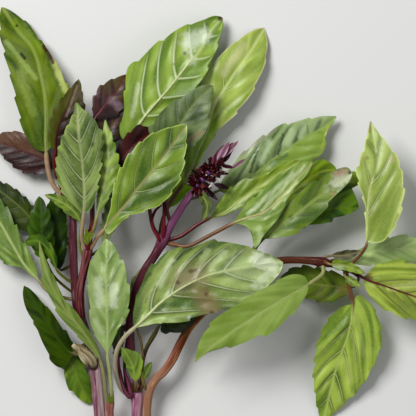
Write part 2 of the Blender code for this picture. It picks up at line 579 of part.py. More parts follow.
STEM_CENTRE = [
    (66, -46, 2.6, 2.6), (66.8, -24, 2.7, 2.6), (67.6, -8, 3, 2.5), (68, 0, 3.6, 2.6),
    (68.5, 9, 4.6, 3.0), (67.6, 14, 5.2, 2.5), (66.2, 22, 6.6, 2.3), (65, 35.5, 8, 2.3),
    (65, 48, 9.6, 2.3), (66.6, 58, 11, 2.3), (69, 65.5, 12, 2.2), (72.5, 73, 13, 2.2),
    (77.5, 80.5, 14, 2.2), (81.3, 87.5, 14.6, 2.5), (85.5, 95.5, 15.5, 2.0),
    (90, 103, 16.6, 1.9), (93.5, 108, 17.6, 1.8), (97.6, 113.4, 19.4, 1.5),
]
STEM_RIGHT = [
    (74.6, -40, 2.2, 2.2), (74.2, -24, 3, 2.2), (73.6, -8, 5.8, 2.2), (73.3, 2, 7.6, 2.2),
    (74.6, 12, 9.4, 2.2), (78, 18.4, 10, 2.2), (81.8, 22, 10, 2.2), (86, 27.8, 10, 2.2),
    (90, 35.8, 9.6, 2.2), (95, 44.5, 9.4, 2.1), (102.5, 52.4, 10, 2.0), (115, 63, 12, 2.0),
    (127.5, 73, 14.2, 2.0), (138, 77.4, 15.4, 1.9), (150, 78, 16.8, 1.8),
    (161, 77, 18, 2.2), (167, 75.6, 18.2, 1.5), (172.5, 74.3, 18.5, 1.8), (176, 72.4, 18.8, 1.2),
    (179.4, 70.3, 19, 1.3),
]

STEMS = [STEM_LEFT, STEM_LEFT_FORK, STEM_LEFT_BUD, STEM_LEFT_SHEATH, STEM_SLIM, STEM_CENTRE,
         STEM_RIGHT]

# The flower head: one slim axis, with loose whorls of open calyces and long bracts on top.
FLOWER_AXIS = [(98.2, 114.2, 19.8, 1.5), (102.5, 119.5, 21.2, 1.6), (107.5, 125, 21.8, 1.4),
               (111.5, 130.5, 22, 0.9)]
FLOWER_SEED = 11
WHORLS = [
    # share of the axis, calyces, their length, how far they lean along the axis
    (0.10, 6, 5.4, 0.0),
    (0.30, 7, 6.0, 0.25),
    (0.52, 7, 6.0, 0.45),
    (0.74, 6, 5.2, 0.8),
]
CALYX_MOUTH = 1.5
CALYX_ROOT = 0.55
CALYX_SIDES = 5
BRACT_HALF_WIDTH = 1.25
BRACT_THICKNESS = 0.75
BRACTS = [
    # root on the head, then tip
    ((110.5, 129, 22.5), (119, 137.5, 25)),
    ((109.5, 129.5, 23), (115, 136.6, 27)),
    ((108.5, 128.5, 22.5), (110.8, 134.6, 25.5)),
    ((111, 128.5, 21.5), (117.4, 133.2, 22.5)),
    ((110, 129, 21.5), (115.8, 136.4, 21)),
    ((110, 126.5, 21), (122.5, 128, 20)),
    ((104, 117, 21), (114, 113.8, 21.5)),
    ((101.5, 116.5, 20.5), (108.4, 108.4, 21.6)),
    ((102, 119.5, 21), (96.4, 122.8, 22.4)),
]


def smooth_path(points, pieces=10):
    """A dense smooth curve through the points, as rows of their coordinates."""
    known = np.array(points, float)
    before = 2 * known[0] - known[1]
    after = 2 * known[-1] - known[-2]
    padded = np.vstack([before, known, after])
    dense = []
    for a, b, c, d in zip(padded, padded[1:], padded[2:], padded[3:]):
        for step in range(pieces):
            u = step / pieces
            dense.append(
                0.5 * (2 * b + (c - a) * u + (2 * a - 5 * b + 4 * c - d) * u**2
                       + (3 * b - a - 3 * c + d) * u**3)
            )
    return np.vstack([dense, known[-1]])


def along(path, shares):
    """The curve's places at these shares of its length."""
    steps = np.linalg.norm(np.diff(path[:, :3], axis=0), axis=1)
    length = np.concatenate([[0], np.cumsum(steps)])
    wanted = np.asarray(shares) * length[-1]
    return np.column_stack([np.interp(wanted, length, column) for column in path.T])


def path_length(path):
    return float(np.linalg.norm(np.diff(path[:, :3], axis=0), axis=1).sum())


def unit(vectors):
    return vectors / np.linalg.norm(vectors, axis=-1, keepdims=True)


def loft(rings, flip_columns=()):
    """A closed body skinned over rings of points, its quads split along one diagonal.

    A column of quads in `flip_columns` is split along the other diagonal.
    """
    rows, sides = rings.shape[:2]
    bm = bmesh.new()
    bmesh.ops.create_grid(bm, x_segments=sides, y_segments=rows - 1)
    bm.verts.ensure_lookup_table()
    for row in range(rows):
        for column in range(sides + 1):
            vert = bm.verts[row * (sides + 1) + column]
            vert.co = Vector(rings[row, column % sides]) * MM
    flipped = [face for face in bm.faces if face.index % sides in flip_columns]
    straight = [face for face in bm.faces if face.index % sides not in flip_columns]
    bmesh.ops.triangulate(bm, faces=flipped, quad_method="ALTERNATE")
    bmesh.ops.triangulate(bm, faces=straight, quad_method="FIXED")
    bmesh.ops.remove_doubles(bm, verts=bm.verts, dist=1e-7)
    bmesh.ops.holes_fill(bm, edges=[edge for edge in bm.edges if edge.is_boundary])
    bmesh.ops.recalc_face_normals(bm, faces=bm.faces)
    return bm


def oval(centre, side, up, half_width, half_height, steps):
    """Points round an oval: `steps` over its top from left to right, then as many below."""
    turn = math.pi / (2 * steps)
    angles = [math.pi - turn - step * 2 * turn for step in range(2 * steps)]
    return np.array([
        centre + side * math.cos(angle) * half_width + up * math.sin(angle) * half_height
        for angle in angles
    ])


def surface(leaf, stations, spread):
    """The blade's middle surface: a row of points for each station, from left to right."""
    rib_path = smooth_path(leaf.rib[leaf.stalk:])
    base, tip = leaf.rib[leaf.stalk], leaf.rib[-1]
    rib = along(rib_path, stations)
    edges = [
        along(smooth_path([base[:2], *edge, tip[:2]]), stations)
        for edge in (leaf.left, leaf.right)
    ]
    teeth = np.where(np.arange(len(stations)) % 2 == 1, 0.5, -0.5) * leaf.tooth
    rows = []
    for row, (share, mid) in enumerate(zip(stations, rib)):
        points = []
        for t in spread:
            edge = edges[0 if t < 0 else 1][row]
            out = edge - mid[:2]
            half = np.linalg.norm(out)
            fullness = math.sin(math.pi * min(max(share, 0.04), 0.97)) ** 0.6
            push = teeth[row] * abs(t) ** 3 * fullness
            place = mid[:2] + out * abs(t) * (1 + push / max(half, 1.0))
            rise = leaf.lift[0 if t < 0 else 1] * fullness * abs(t) ** 1.5
            phase = WAVES_ALONG * share + WAVES_ACROSS * t + len(leaf.name)
            ruffle = leaf.wave * math.sin(phase) * t * t
            points.append((*place, mid[2] + rise + ruffle * fullness))
        rows.append(points)
    return np.array(rows)


def clear_of_stems(rib, stalk_half):
    """The share of a leaf's rib at which its stalk has come clear of the stem it grows from."""
    shares = np.linspace(0, 0.5, 201)
    places = along(rib, shares)
    stems = np.vstack([smooth_path(points) for points in STEMS])
    apart = np.linalg.norm(places[:, None, :] - stems[None, :, :3], axis=2) - stems[:, 3]
    clear = apart.min(axis=1) > stalk_half * 0.9 + GAP
    return float(shares[np.argmax(clear)])


def leaf_rings(leaf):
    """Rings of points from the stalk's foot to the blade's tip."""
    blade_length = path_length(smooth_path(leaf.rib[leaf.stalk:]))
    steps = SMALL_RIM_STEPS if blade_length < SMALL_LEAF else RIM_STEPS
    spread = np.linspace(-1, 1, steps)
    rows = max(5, round(blade_length / ROW_PITCH))
    stations = np.append((np.arange(rows - 1) + 1) / rows, 0.985)
    middle = surface(leaf, stations, spread)
    rib = smooth_path(leaf.rib)
    stalk_share = path_length(smooth_path(leaf.rib[: leaf.stalk + 1])) / path_length(rib)
    start = clear_of_stems(rib, leaf.stalk_half)
    rings = []
    stalk_rows = max(3, round((stalk_share - start) * path_length(rib) / STALK_PITCH))
    shares = np.linspace(start, stalk_share, stalk_rows)
    stalk = along(rib, shares)
    ahead = along(rib, shares + SHORT_STEP)
    for centre, forward in zip(stalk, unit(ahead - stalk)):
        side = unit(np.cross(forward, (0, 0, 1)))
        up = np.cross(side, forward)
        flat = leaf.stalk_half * STALK_FLATNESS
        rings.append(oval(centre, side, up, leaf.stalk_half, flat, steps))
    padded = np.concatenate([[np.repeat(stalk[-1:], steps, axis=0)], middle])
    forward = np.gradient(padded, axis=0)[1:]
    across = np.gradient(middle, axis=1)
    normal = unit(np.cross(across, forward))
    for share, line, up in zip(stations, middle, normal):
        rib_half = max(0.0, leaf.stalk_half * STALK_FLATNESS * (1 - share * 1.15))
        keel = np.where(np.abs(spread) < 0.1, np.hypot(rib_half, BLADE_HALF), BLADE_HALF)
        above = line + up * BLADE_HALF
        below = line - up * keel[:, None]
        rings.append(np.vstack([above, below[::-1]]))
    return np.array(rings), steps


def leaf_mesh(leaf):
    rings, steps = leaf_rings(leaf)
    half = (steps - 1) // 2
    top_left = range(half)
    lower_right = range(steps, steps + half)
    return loft(rings, {*top_left, *lower_right})


def tube(points, sides=STEM_SIDES, pitch=STEM_PITCH):
    """A round stem through (x, y, z, radius) points, with a flat underside and flat ends."""
    path = smooth_path(points)
    rows = max(3, round(path_length(path) / pitch))
    stations = np.linspace(0, 1, rows)
    centres = along(path, stations)
    ahead = along(path, np.minimum(stations + SHORT_STEP, 1.0))
    behind = along(path, np.maximum(stations - SHORT_STEP, 0.0))
    forward = unit((ahead - behind)[:, :3])
    rings = []
    for centre, direction in zip(centres, forward):
        side = unit(np.cross(direction, (0, 0, 1)))
        up = np.cross(side, direction)
        outer = centre[3] / math.cos(math.pi / sides)
        ring = oval(centre[:3], side, up, outer, outer, sides // 2)
        rings.append(ring)
    return loft(np.array(rings))


def to_object(bm, name):
    mesh = bpy.data.meshes.new(name)
    bm.to_mesh(mesh)
    bm.free()
    obj = bpy.data.objects.new(name, mesh)
    bpy.context.scene.collection.objects.link(obj)
    return obj


def united(name, meshes):
    """One body made of several that overlap."""
    first, *others = meshes
    whole = to_object(first, name)
    extra = bpy.data.collections.new(name + "_pieces")
    bpy.context.scene.collection.children.link(extra)
    for number, bm in enumerate(others):
        piece = to_object(bm, f"{name}_piece_{number}")
        bpy.context.scene.collection.objects.unlink(piece)
        extra.objects.link(piece)
    union = whole.modifiers.new("union", "BOOLEAN")
    union.operation = "UNION"
    union.operand_type = "COLLECTION"
    union.collection = extra
    graph = bpy.context.evaluated_depsgraph_get()
    solid = bpy.data.meshes.new_from_object(whole.evaluated_get(graph))
    whole.modifiers.clear()
    whole.data = solid
    for piece in list(extra.objects):
        bpy.data.objects.remove(piece)
    bpy.data.collections.remove(extra)
    return whole


def calyx(root, direction, length):
    """A small open bell, closed by a flat mouth, pointing along a direction."""
    bm = bmesh.new()
    bmesh.ops.create_cone(bm, cap_ends=True, segments=CALYX_SIDES, radius1=CALYX_ROOT * MM,
                          radius2=CALYX_MOUTH * MM, depth=length * MM)
    bmesh.ops.translate(bm, verts=bm.verts, vec=(0, 0, length / 2 * MM))
    turn = Vector((0, 0, 1)).rotation_difference(Vector(direction)).to_matrix()
    bmesh.ops.rotate(bm, verts=bm.verts, matrix=turn)
    bmesh.ops.translate(bm, verts=bm.verts, vec=Vector(root) * MM)
    return bm


def bract(root, tip):
    """A pointed scale from its root to its tip, widest at the middle."""
    reach = Vector(tip) - Vector(root)
    bm = bmesh.new()
    bmesh.ops.create_icosphere(bm, subdivisions=1, radius=0.5)
    size = (BRACT_HALF_WIDTH * 2, BRACT_THICKNESS * 2, reach.length)
    bmesh.ops.scale(bm, verts=bm.verts, vec=Vector(size) * MM)
    bmesh.ops.translate(bm, verts=bm.verts, vec=(0, 0, reach.length / 2 * MM))
    turn = Vector((0, 0, 1)).rotation_difference(reach).to_matrix()
    bmesh.ops.rotate(bm, verts=bm.verts, matrix=turn)
    bmesh.ops.translate(bm, verts=bm.verts, vec=Vector(root) * MM)
    return bm


def flower_head():
    chance = random.Random(FLOWER_SEED)
    axis = smooth_path(FLOWER_AXIS)
    pieces = [tube(FLOWER_AXIS, SMALL_SIDES, SMALL_PITCH)]
    for whorl, (share, count, length, lean) in enumerate(WHORLS):
        centre, after = along(axis, [share, share + SHORT_STEP])
        forward = Vector(unit((after - centre)[:3]))
        side = forward.orthogonal().normalized()
        for number in range(count):
            turn = math.tau * (number + 0.5 * (whorl % 2) + chance.uniform(-0.2, 0.2)) / count
            out = Matrix.Rotation(turn, 3, forward) @ side
            direction = (out + forward * (lean + chance.uniform(-0.2, 0.2))).normalized()
            pieces.append(calyx(centre[:3], direction, length * chance.uniform(0.85, 1.1)))
    pieces += [bract(root, tip) for root, tip in BRACTS]
    return united("flower_head", pieces)


def surface_of(name, colour, roughness=0.55):
    material = bpy.data.materials.new(name + "_surface")
    material.use_nodes = True
    shader = material.node_tree.nodes["Principled BSDF"]
    shader.inputs["Base Color"].default_value = (*colour, 1.0)
    shader.inputs["Roughness"].default_value = roughness
    shader.inputs["Metallic"].default_value = 0.0
    return material


def finish(obj, colour, bunch):
    obj.data.materials.append(surface_of(obj.name, COLOURS[colour]))
    obj.data.shade_smooth()
    obj.data.set_sharp_from_angle(angle=math.radians(50))
    obj.parent = bunch


def build():
    for obj in list(bpy.data.objects):
        bpy.data.objects.remove(obj)
    bunch = bpy.data.objects.new("bunch", None)
    bunch.location = (-PLAN_MIDDLE[0] * MM, -PLAN_MIDDLE[1] * MM, 0)
    bpy.context.scene.collection.objects.link(bunch)
    forks = [tube(STEM_LEFT_FORK), tube(STEM_LEFT_BUD, SMALL_SIDES, SMALL_PITCH),
             tube(STEM_LEFT_SHEATH, pitch=SMALL_PITCH)]
    stem_left = united("stem_left", [tube(STEM_LEFT), *forks])
    finish(stem_left, "stem_purple", bunch)
    finish(to_object(tube(STEM_SLIM), "stem_slim"), "stem_pink", bunch)
    finish(to_object(tube(STEM_CENTRE), "stem_centre"), "stem_purple", bunch)
    finish(to_object(tube(STEM_RIGHT), "stem_right"), "stem_brown", bunch)
    finish(flower_head(), "flower", bunch)
    for leaf in LEAVES:
        finish(to_object(leaf_mesh(leaf), leaf.name), leaf.colour, bunch)


build()
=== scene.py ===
"""A cut bunch of Thai basil lying on a pale floor, seen from straight above.

Every place is given in millimetres on the bunch's plan, x to the right and y towards the
leaf tips, with z the height over the floor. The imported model's nodes lie in the same frame.
"""

import math
import random
from dataclasses import dataclass, field

import bmesh
import bpy
import numpy as np
from mathutils import Matrix, Vector


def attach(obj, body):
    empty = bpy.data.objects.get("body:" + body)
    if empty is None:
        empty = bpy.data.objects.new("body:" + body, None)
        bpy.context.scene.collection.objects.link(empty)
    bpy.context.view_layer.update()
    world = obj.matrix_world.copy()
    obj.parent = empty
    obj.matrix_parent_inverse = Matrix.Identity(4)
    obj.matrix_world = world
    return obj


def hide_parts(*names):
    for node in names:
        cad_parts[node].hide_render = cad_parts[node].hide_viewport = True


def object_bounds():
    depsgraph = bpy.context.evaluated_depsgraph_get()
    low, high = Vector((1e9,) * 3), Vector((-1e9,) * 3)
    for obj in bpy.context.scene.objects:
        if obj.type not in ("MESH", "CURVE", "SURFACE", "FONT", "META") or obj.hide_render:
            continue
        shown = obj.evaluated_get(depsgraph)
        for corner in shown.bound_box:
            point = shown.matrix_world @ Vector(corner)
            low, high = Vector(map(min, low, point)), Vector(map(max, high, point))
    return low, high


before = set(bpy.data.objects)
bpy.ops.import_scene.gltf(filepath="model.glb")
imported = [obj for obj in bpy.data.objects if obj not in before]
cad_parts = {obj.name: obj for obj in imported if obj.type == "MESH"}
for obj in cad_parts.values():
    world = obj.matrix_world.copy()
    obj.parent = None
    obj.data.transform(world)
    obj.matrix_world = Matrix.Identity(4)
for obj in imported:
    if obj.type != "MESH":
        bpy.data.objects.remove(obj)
cad_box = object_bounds()


# The view. The bunch lies flat, so the camera looks straight down on it through a long
# lens, and a step of one millimetre on the plan is two pixels of the picture.
MM = 0.001
PLAN_MIDDLE = np.array([105.0, 79.5, 0.0])  # the plan's point over the frame's origin
VIEW_MIDDLE = (104.0, 104.0)  # the plan's point in the middle of the picture
VIEW_WIDTH = 208.0
VIEW_LEVEL = 15.0  # the height over the floor at which the picture is that wide
EYE_DISTANCE = 2000.0
FILM_WIDTH = 36.0
NEAREST, FARTHEST = 0.05, 50.0  # what the lens takes in, in metres


def on_plan(place):
    """A plan place in metres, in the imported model's frame."""
    return (np.array(place) - PLAN_MIDDLE) * MM


def add_object(name, data):
    obj = bpy.data.objects.new(name, data)
    bpy.context.scene.collection.objects.link(obj)
    return obj


lens = bpy.data.cameras.new("eye")
lens.sensor_width = FILM_WIDTH
lens.lens = FILM_WIDTH * EYE_DISTANCE / VIEW_WIDTH
lens.clip_start, lens.clip_end = NEAREST, FARTHEST
eye = add_object("eye", lens)
eye.location = on_plan((*VIEW_MIDDLE, VIEW_LEVEL + EYE_DISTANCE))
bpy.context.scene.camera = eye

# The studio. A wide pale sweep under the bunch, one large soft lamp from the upper left, a
# weaker one from the right, and a pale room all round.
FLOOR_HALF = 5.0
FLOOR_COLOUR = (0.72, 0.72, 0.70, 1.0)
FLOOR_ROUGHNESS = 0.9
ROOM_COLOUR = (0.95, 0.97, 1.0, 1.0)
ROOM_LIGHT = 0.22
LAMPS = {
    # where it hangs and its width in metres, its power in watts
    "window_lamp": ((-0.75, 0.75, 1.15), 0.7, 25.0),
    "side_lamp": ((1.1, -0.2, 1.0), 1.2, 4.0),
}

sweep = bmesh.new()
bmesh.ops.create_grid(sweep, x_segments=4, y_segments=4, size=FLOOR_HALF)
floor_mesh = bpy.data.meshes.new("floor")
sweep.to_mesh(floor_mesh)
sweep.free()
floor_paint = bpy.data.materials.new("pale_floor")
floor_paint.use_nodes = True
floor_shader = floor_paint.node_tree.nodes["Principled BSDF"]
floor_shader.inputs["Base Color"].default_value = FLOOR_COLOUR
floor_shader.inputs["Roughness"].default_value = FLOOR_ROUGHNESS
floor_mesh.materials.append(floor_paint)
add_object("floor", floor_mesh)

for lamp_name, (hung, width, power) in LAMPS.items():
    lamp = bpy.data.lights.new(lamp_name, "AREA")
    lamp.size = width
    lamp.energy = power
    holder = add_object(lamp_name, lamp)
    holder.location = hung
    holder.rotation_euler = Vector(hung).to_track_quat("Z", "Y").to_euler()
    holder.visible_camera = False
room = bpy.data.worlds.new("pale_room")
room.use_nodes = True
room.node_tree.nodes["Background"].inputs["Color"].default_value = ROOM_COLOUR
room.node_tree.nodes["Background"].inputs["Strength"].default_value = ROOM_LIGHT
bpy.context.scene.world = room
bpy.context.scene.view_settings.view_transform = "Standard"


# The stems. Each is a soft green stem of the mint family, blunt four-sided with rounded
# corners, flushed purple by the sun and streaked lengthwise, and a little swollen where
# leaves grow out. They lie gathered on the floor and end in flat cuts square to the stem.
CURVE_PIECES = 10  # steps of a smooth curve from each of its points to the next
STEM_SIDES, STEM_PITCH = 24, 1.6  # a pitch is the step between rings
TWIG_SIDES, TWIG_PITCH = 8, 1.2
SCALE_SIDES, SCALE_RINGS = 8, 7
SCALE_LENGTH = 6.0  # how much of a skin's length a scale shows
SQUARENESS = 0.05
SWELLING = 3.2  # length of the swelling at a leaf joint
CREASE = math.radians(60)  # a sharper edge than this isn't shaded smooth
STREAK, CLOUD, GLINT, PORE = 0.9, 7.0, 0.5, 0.25  # widths of a stem skin's marks
STEM_GLOSS = 0.12
GLOSS_VEIL = 0.022  # the light that a plant's gloss adds to its colour

STEM_LEFT = [
    (51.6, -42, 3, 3), (51.2, -33, 3, 3), (50.9, -24, 3.04, 3), (50.1, -8, 3.5, 3),
    (49.6, 0, 4.2, 3), (49, 8, 5.3, 3), (48, 18, 7, 3), (46.8, 27, 8.6, 2.8),
    (44.4, 36.5, 10.2, 2.6), (40.9, 46, 11.8, 2.6), (38.6, 54, 12.6, 2.3), (37.5, 63, 13, 2.1),
    (36.5, 83, 13, 2.0), (36.3, 98, 13, 1.9), (34.2, 106, 13, 2.0), (32.5, 109, 13.2, 2.2),
    (31.4, 112, 14.4, 1.0),
]
STEM_LEFT_FORK = [
    (42.8, 41.5, 11, 1.6), (40.6, 50, 12.8, 2.1), (40, 57, 14, 2.2), (40.2, 64, 14.8, 2.1),
    (42, 73, 15.8, 2.1), (43.8, 81.5, 16.6, 2.3), (44.4, 86, 16, 1.6), (45.4, 92, 13.4, 1.3),
    (46, 99, 12, 1.2), (46.4, 125, 12, 1.0), (46.2, 145, 12, 0.7),
]
STEM_LEFT_SHEATH = [
    (46.2, 24.0, 9.4, 2.3), (46.2, 27.4, 11, 3.0), (43.6, 30.6, 12, 2.7), (40.6, 32.8, 12, 2.5),
    (38.4, 34.0, 12, 1.9), (36.4, 35.6, 11.6, 1.3),
]
STEM_SLIM = [
    (57.4, -38, 2.3, 2.3), (56.8, -24, 2.6, 2.3), (56, -10, 4.6, 2.2), (54.6, 0, 7.6, 2.1),
    (54.8, 5.5, 10.2, 2.3), (55.4, 9.5, 11.4, 1.6), (56, 12.5, 11.6, 0.7),
]
STEM_CENTRE = [
    (66, -46, 2.6, 2.6), (66.8, -24, 2.7, 2.6), (67.6, -8, 3, 2.5), (68, 0, 3.6, 2.6),
    (68.5, 9, 4.6, 3.0), (67.6, 14, 5.2, 2.5), (66.2, 22, 6.6, 2.3), (65, 35.5, 8, 2.3),
    (65, 48, 9.6, 2.3), (66.6, 58, 11, 2.3), (69, 65.5, 12, 2.2), (72.5, 73, 13, 2.2),
    (77.5, 80.5, 14, 2.2), (81.3, 87.5, 14.6, 2.5), (85.5, 95.5, 15.5, 2.0),
    (90, 103, 16.6, 1.9), (93.5, 108, 17.6, 1.8), (97.6, 113.4, 19.4, 1.5),
]
STEM_RIGHT = [
    (74.6, -40, 2.2, 2.2), (74.2, -24, 3, 2.2), (73.6, -8, 5.8, 2.2), (73.3, 2, 7.6, 2.2),
    (74.6, 12, 9.4, 2.2), (78, 18.4, 10, 2.2), (81.8, 22, 10, 2.2), (86, 27.8, 10, 2.2),
    (90, 35.8, 9.6, 2.2), (95, 44.5, 9.4, 2.1), (102.5, 52.4, 10, 2.0), (115, 63, 12, 2.0),
    (127.5, 73, 14.2, 2.0), (138, 77.4, 15.4, 1.9), (150, 78, 16.8, 1.8), (161, 77, 18, 2.2),
    (167, 75.6, 18.2, 1.5), (172.5, 74.3, 18.5, 1.8), (176, 72.4, 18.8, 1.2),
    (179.4, 70.3, 19, 1.3),
]


def smooth_path(points):
    """A dense smooth curve through the points, as rows of their coordinates."""
    known = np.array(points, float)
    padded = np.vstack([2 * known[0] - known[1], known, 2 * known[-1] - known[-2]])
    dense = []
    for a, b, c, d in zip(padded, padded[1:], padded[2:], padded[3:]):
        for u in np.arange(CURVE_PIECES) / CURVE_PIECES:
            dense.append(0.5 * (2 * b + (c - a) * u + (2 * a - 5 * b + 4 * c - d) * u**2
                                + (3 * b - a - 3 * c + d) * u**3))
    return np.vstack([dense, known[-1]])


def path_steps(path):
    """The distance from the curve's start to each of its places."""
    return np.concatenate([[0], np.cumsum(np.linalg.norm(np.diff(path[:, :3], axis=0), axis=1))])


def along(path, shares):
    """The curve's places at these shares of its length."""
    steps = path_steps(path)
    return np.column_stack([np.interp(shares * steps[-1], steps, column) for column in path.T])


def unit(vectors):
    return vectors / np.linalg.norm(vectors, axis=-1, keepdims=True)


def directions(run, rise=(0, 0, 1)):
    """Unit vectors along a run, to its side and over it."""
    forward = unit(np.array(run))
    side = unit(np.cross(forward, rise))
    return forward, side, np.cross(side, forward)


def skin(points, marks, closed):
    """A surface through a table of plan points, with the marks that its paint reads.

    A closed skin joins its last column to its first and is capped at both ends.
    """
    rows, columns = points.shape[:2]
    bm = bmesh.new()
    layers = []
    for name, table in marks.items():
        kind = bm.verts.layers.float_vector if table.ndim == 3 else bm.verts.layers.float
        layers.append((table, kind.new(name)))
    width = columns - 1 + closed
    bmesh.ops.create_grid(bm, x_segments=width, y_segments=rows - 1)
    bm.verts.ensure_lookup_table()
    places = on_plan(points)
    for row in range(rows):
        for column in range(width + 1):
            vert, at = bm.verts[row * (width + 1) + column], (row, column % columns)
            vert.co = places[at]
            for table, layer in layers:
                vert[layer] = table[at]
    if closed:
        bmesh.ops.remove_doubles(bm, verts=bm.verts, dist=1e-7)
        bmesh.ops.holes_fill(bm, edges=[edge for edge in bm.edges if edge.is_boundary])
    bmesh.ops.recalc_face_normals(bm, faces=bm.faces)
    return bm


def pod(rings):
    """A closed skin through rings of points, each (x, y, z) and the three marks on it."""
    table = np.array(rings)
    return skin(table[..., :3], {"skin": table[..., 3:]}, closed=True)


def tube(path, radii, sides, pitch, flatness=1.0, squareness=0.0):
    """A stem along a curve, marked with each point's place round it and along it in mm."""
    length = path_steps(path)[-1]
    shares = np.linspace(0, 1, max(4, round(length / pitch)))
    centres = along(path, shares)[:, :3]
    radius = np.interp(shares, np.linspace(0, 1, len(radii)), radii)[:, None]
    _, side, up = directions(np.gradient(centres, axis=0))
    angle = np.arange(sides)[None, :] / sides * math.tau
    reach = radius * (1 + squareness * (1 - np.cos(4 * angle)))
    across, rise = reach * np.cos(angle), reach * np.sin(angle) * flatness
    points = (centres[:, None, :] + side[:, None, :] * across[..., None]
              + up[:, None, :] * rise[..., None])
    lengths = np.broadcast_to(shares[:, None] * length, across.shape)
    return pod(np.dstack([points, across, rise, lengths]))


def stem(points, joints=()):
    """A four-sided stem through (x, y, z, radius) points, swollen at its leaf joints."""
    path = smooth_path(points)
    steps = path_steps(path)
    radii = path[:, 3].copy()
    for joint, swell in joints:
        nearest = steps[np.argmin(np.linalg.norm(path[:, :2] - joint, axis=1))]
        radii += swell * np.exp(-(((steps - nearest) / SWELLING) ** 2))
    even = np.interp(np.linspace(0, steps[-1], len(path)), steps, radii)
    return tube(path, even, STEM_SIDES, STEM_PITCH, squareness=SQUARENESS)


def twig(*points):
    """A thin shoot or leaf stalk through (x, y, z, radius) points."""
    path = smooth_path(points)
    return tube(path, path[:, 3], TWIG_SIDES, TWIG_PITCH)


def scale(root, tip, half_width, thickness=0.4, cup=0.25):
    """A small pointed scale or bud leaf from its root to its tip, cupped along its middle."""
    root, tip = np.array(root, float), np.array(tip, float)
    _, side, up = directions(tip - root)
    rings = []
    for share in np.linspace(0.02, 0.98, SCALE_RINGS):
        wide = half_width * math.sin(math.pi * share**0.75) ** 0.8
        centre = root + (tip - root) * share + up * cup * math.sin(math.pi * share)
        ring = []
        for angle in np.arange(SCALE_SIDES) / SCALE_SIDES * math.tau:
            x, y = math.cos(angle) * wide, math.sin(angle) * thickness / 2
            place = centre + side * x + up * (y + cup * (x / half_width) ** 2)
            ring.append((*place, x, y, share * SCALE_LENGTH))
        rings.append(ring)
    return pod(rings)


class Wire:
    """A shader socket. Sums on it add Math nodes, and node() adds any other node."""

    def __init__(self, tree, socket=None):
        self.tree, self.socket = tree, socket

    def node(self, kind, settings=None, inputs=None, output=0):
        made = self.tree.nodes.new("ShaderNode" + kind)
        for key, value in (settings or {}).items():
            setattr(made, key, value)
        for key, value in (inputs or {}).items():
            if isinstance(value, Wire):
                self.tree.links.new(value.socket, made.inputs[key])
            else:
                made.inputs[key].default_value = value
        return Wire(self.tree, made.outputs[output])

    def other(self, output):
        return Wire(self.tree, self.socket.node.outputs[output])

    def mark(self, name, output):
        """What the mesh says of itself at a point, as its skin was given it."""
        return self.node("Attribute", {"attribute_name": name}, output=output)

    def maths(self, operation, *values):
        return self.node("Math", {"operation": operation}, dict(enumerate(values)))

    def vectors(self, operation, *values, output=0):
        return self.node("VectorMath", {"operation": operation}, dict(enumerate(values)), output)

    def __add__(self, value):
        return self.maths("ADD", self, value)

    def __sub__(self, value):
        return self.maths("SUBTRACT", self, value)

    def __rsub__(self, value):
        return self.maths("SUBTRACT", value, self)

    def __mul__(self, value):
        return self.maths("MULTIPLY", self, value)

    def __abs__(self):
        return self.maths("ABSOLUTE", self)

    __radd__, __rmul__ = __add__, __mul__

    def within(self, low, high):
        """A soft step: 0 up to low, 1 from high on. It falls where high is below low."""
        start, end = (0.0, 1.0) if low < high else (1.0, 0.0)
        return self.node("MapRange", {"interpolation_type": "SMOOTHSTEP"}, {
            "Value": self, "From Min": min(low, high), "From Max": max(low, high),
            "To Min": start, "To Max": end})

    def between(self, start, end):
        """The colour at this share of 0 to 1 on the way from one colour to another."""
        return self.node("Mix", {"data_type": "RGBA"}, {0: self, 6: start, 7: end}, output=2)

    def tint(self, share, colour):
        """This colour, changed towards another by a share of 0 to 1."""
        return share.between(self, colour)

    def distance(self, start, end):
        """How far this position lies, seen from above, from the line between two points."""
        run = end - start
        offset = self.vectors("SUBTRACT", self, start)
        share = self.vectors("DOT_PRODUCT", offset, run / max(run @ run, 1e-9), output="Value")
        share = self.maths("MINIMUM", self.maths("MAXIMUM", share, 0.0), 1.0)
        nearest = self.node("VectorMath", {"operation": "SCALE"}, {0: run, "Scale": share})
        flat = self.vectors("MULTIPLY", self.vectors("SUBTRACT", offset, nearest), (1, 1, 0))
        return self.vectors("LENGTH", flat, output="Value")

    def noise(self, size, detail=2.0, stretch=(1.0, 1.0, 1.0)):
        """Cloudy noise of about 0 to 1 over this position, its blots about `size` across."""
        scaled = self.vectors("MULTIPLY", self, [axis / size for axis in stretch])
        return self.node("TexNoise", None, {"Vector": scaled, "Scale": 1.0, "Detail": detail})


def paint(colour, dim=1.0):
    """A colour from 0 to 255 as the picture shows it, less the pale veil that gloss adds."""
    lights = [((value * dim / 255 + 0.055) / 1.055) ** 2.4 for value in colour]
    return (*(max(light - GLOSS_VEIL, light * 0.25) for light in lights), 1.0)


def new_surface(name, **constants):
    """A material with its shader's plain values set, and a wire to build its paint from."""
    material = bpy.data.materials.new(name)
    material.use_nodes = True
    shader = material.node_tree.nodes["Principled BSDF"]
    for socket, value in constants.items():
        shader.inputs[socket.replace("_", " ")].default_value = value
    return material, Wire(material.node_tree), shader


def lay_on(shader, colour, roughness, relief, strength, depth):
    """Joins a finished paint to its shader, with its relief as a bump of so many mm."""
    bump = relief.node("Bump", None, {
        "Strength": strength, "Distance": depth * MM, "Height": relief})
    for socket, wire in {"Base Color": colour, "Roughness": roughness, "Normal": bump}.items():
        wire.tree.links.new(wire.socket, shader.inputs[socket])


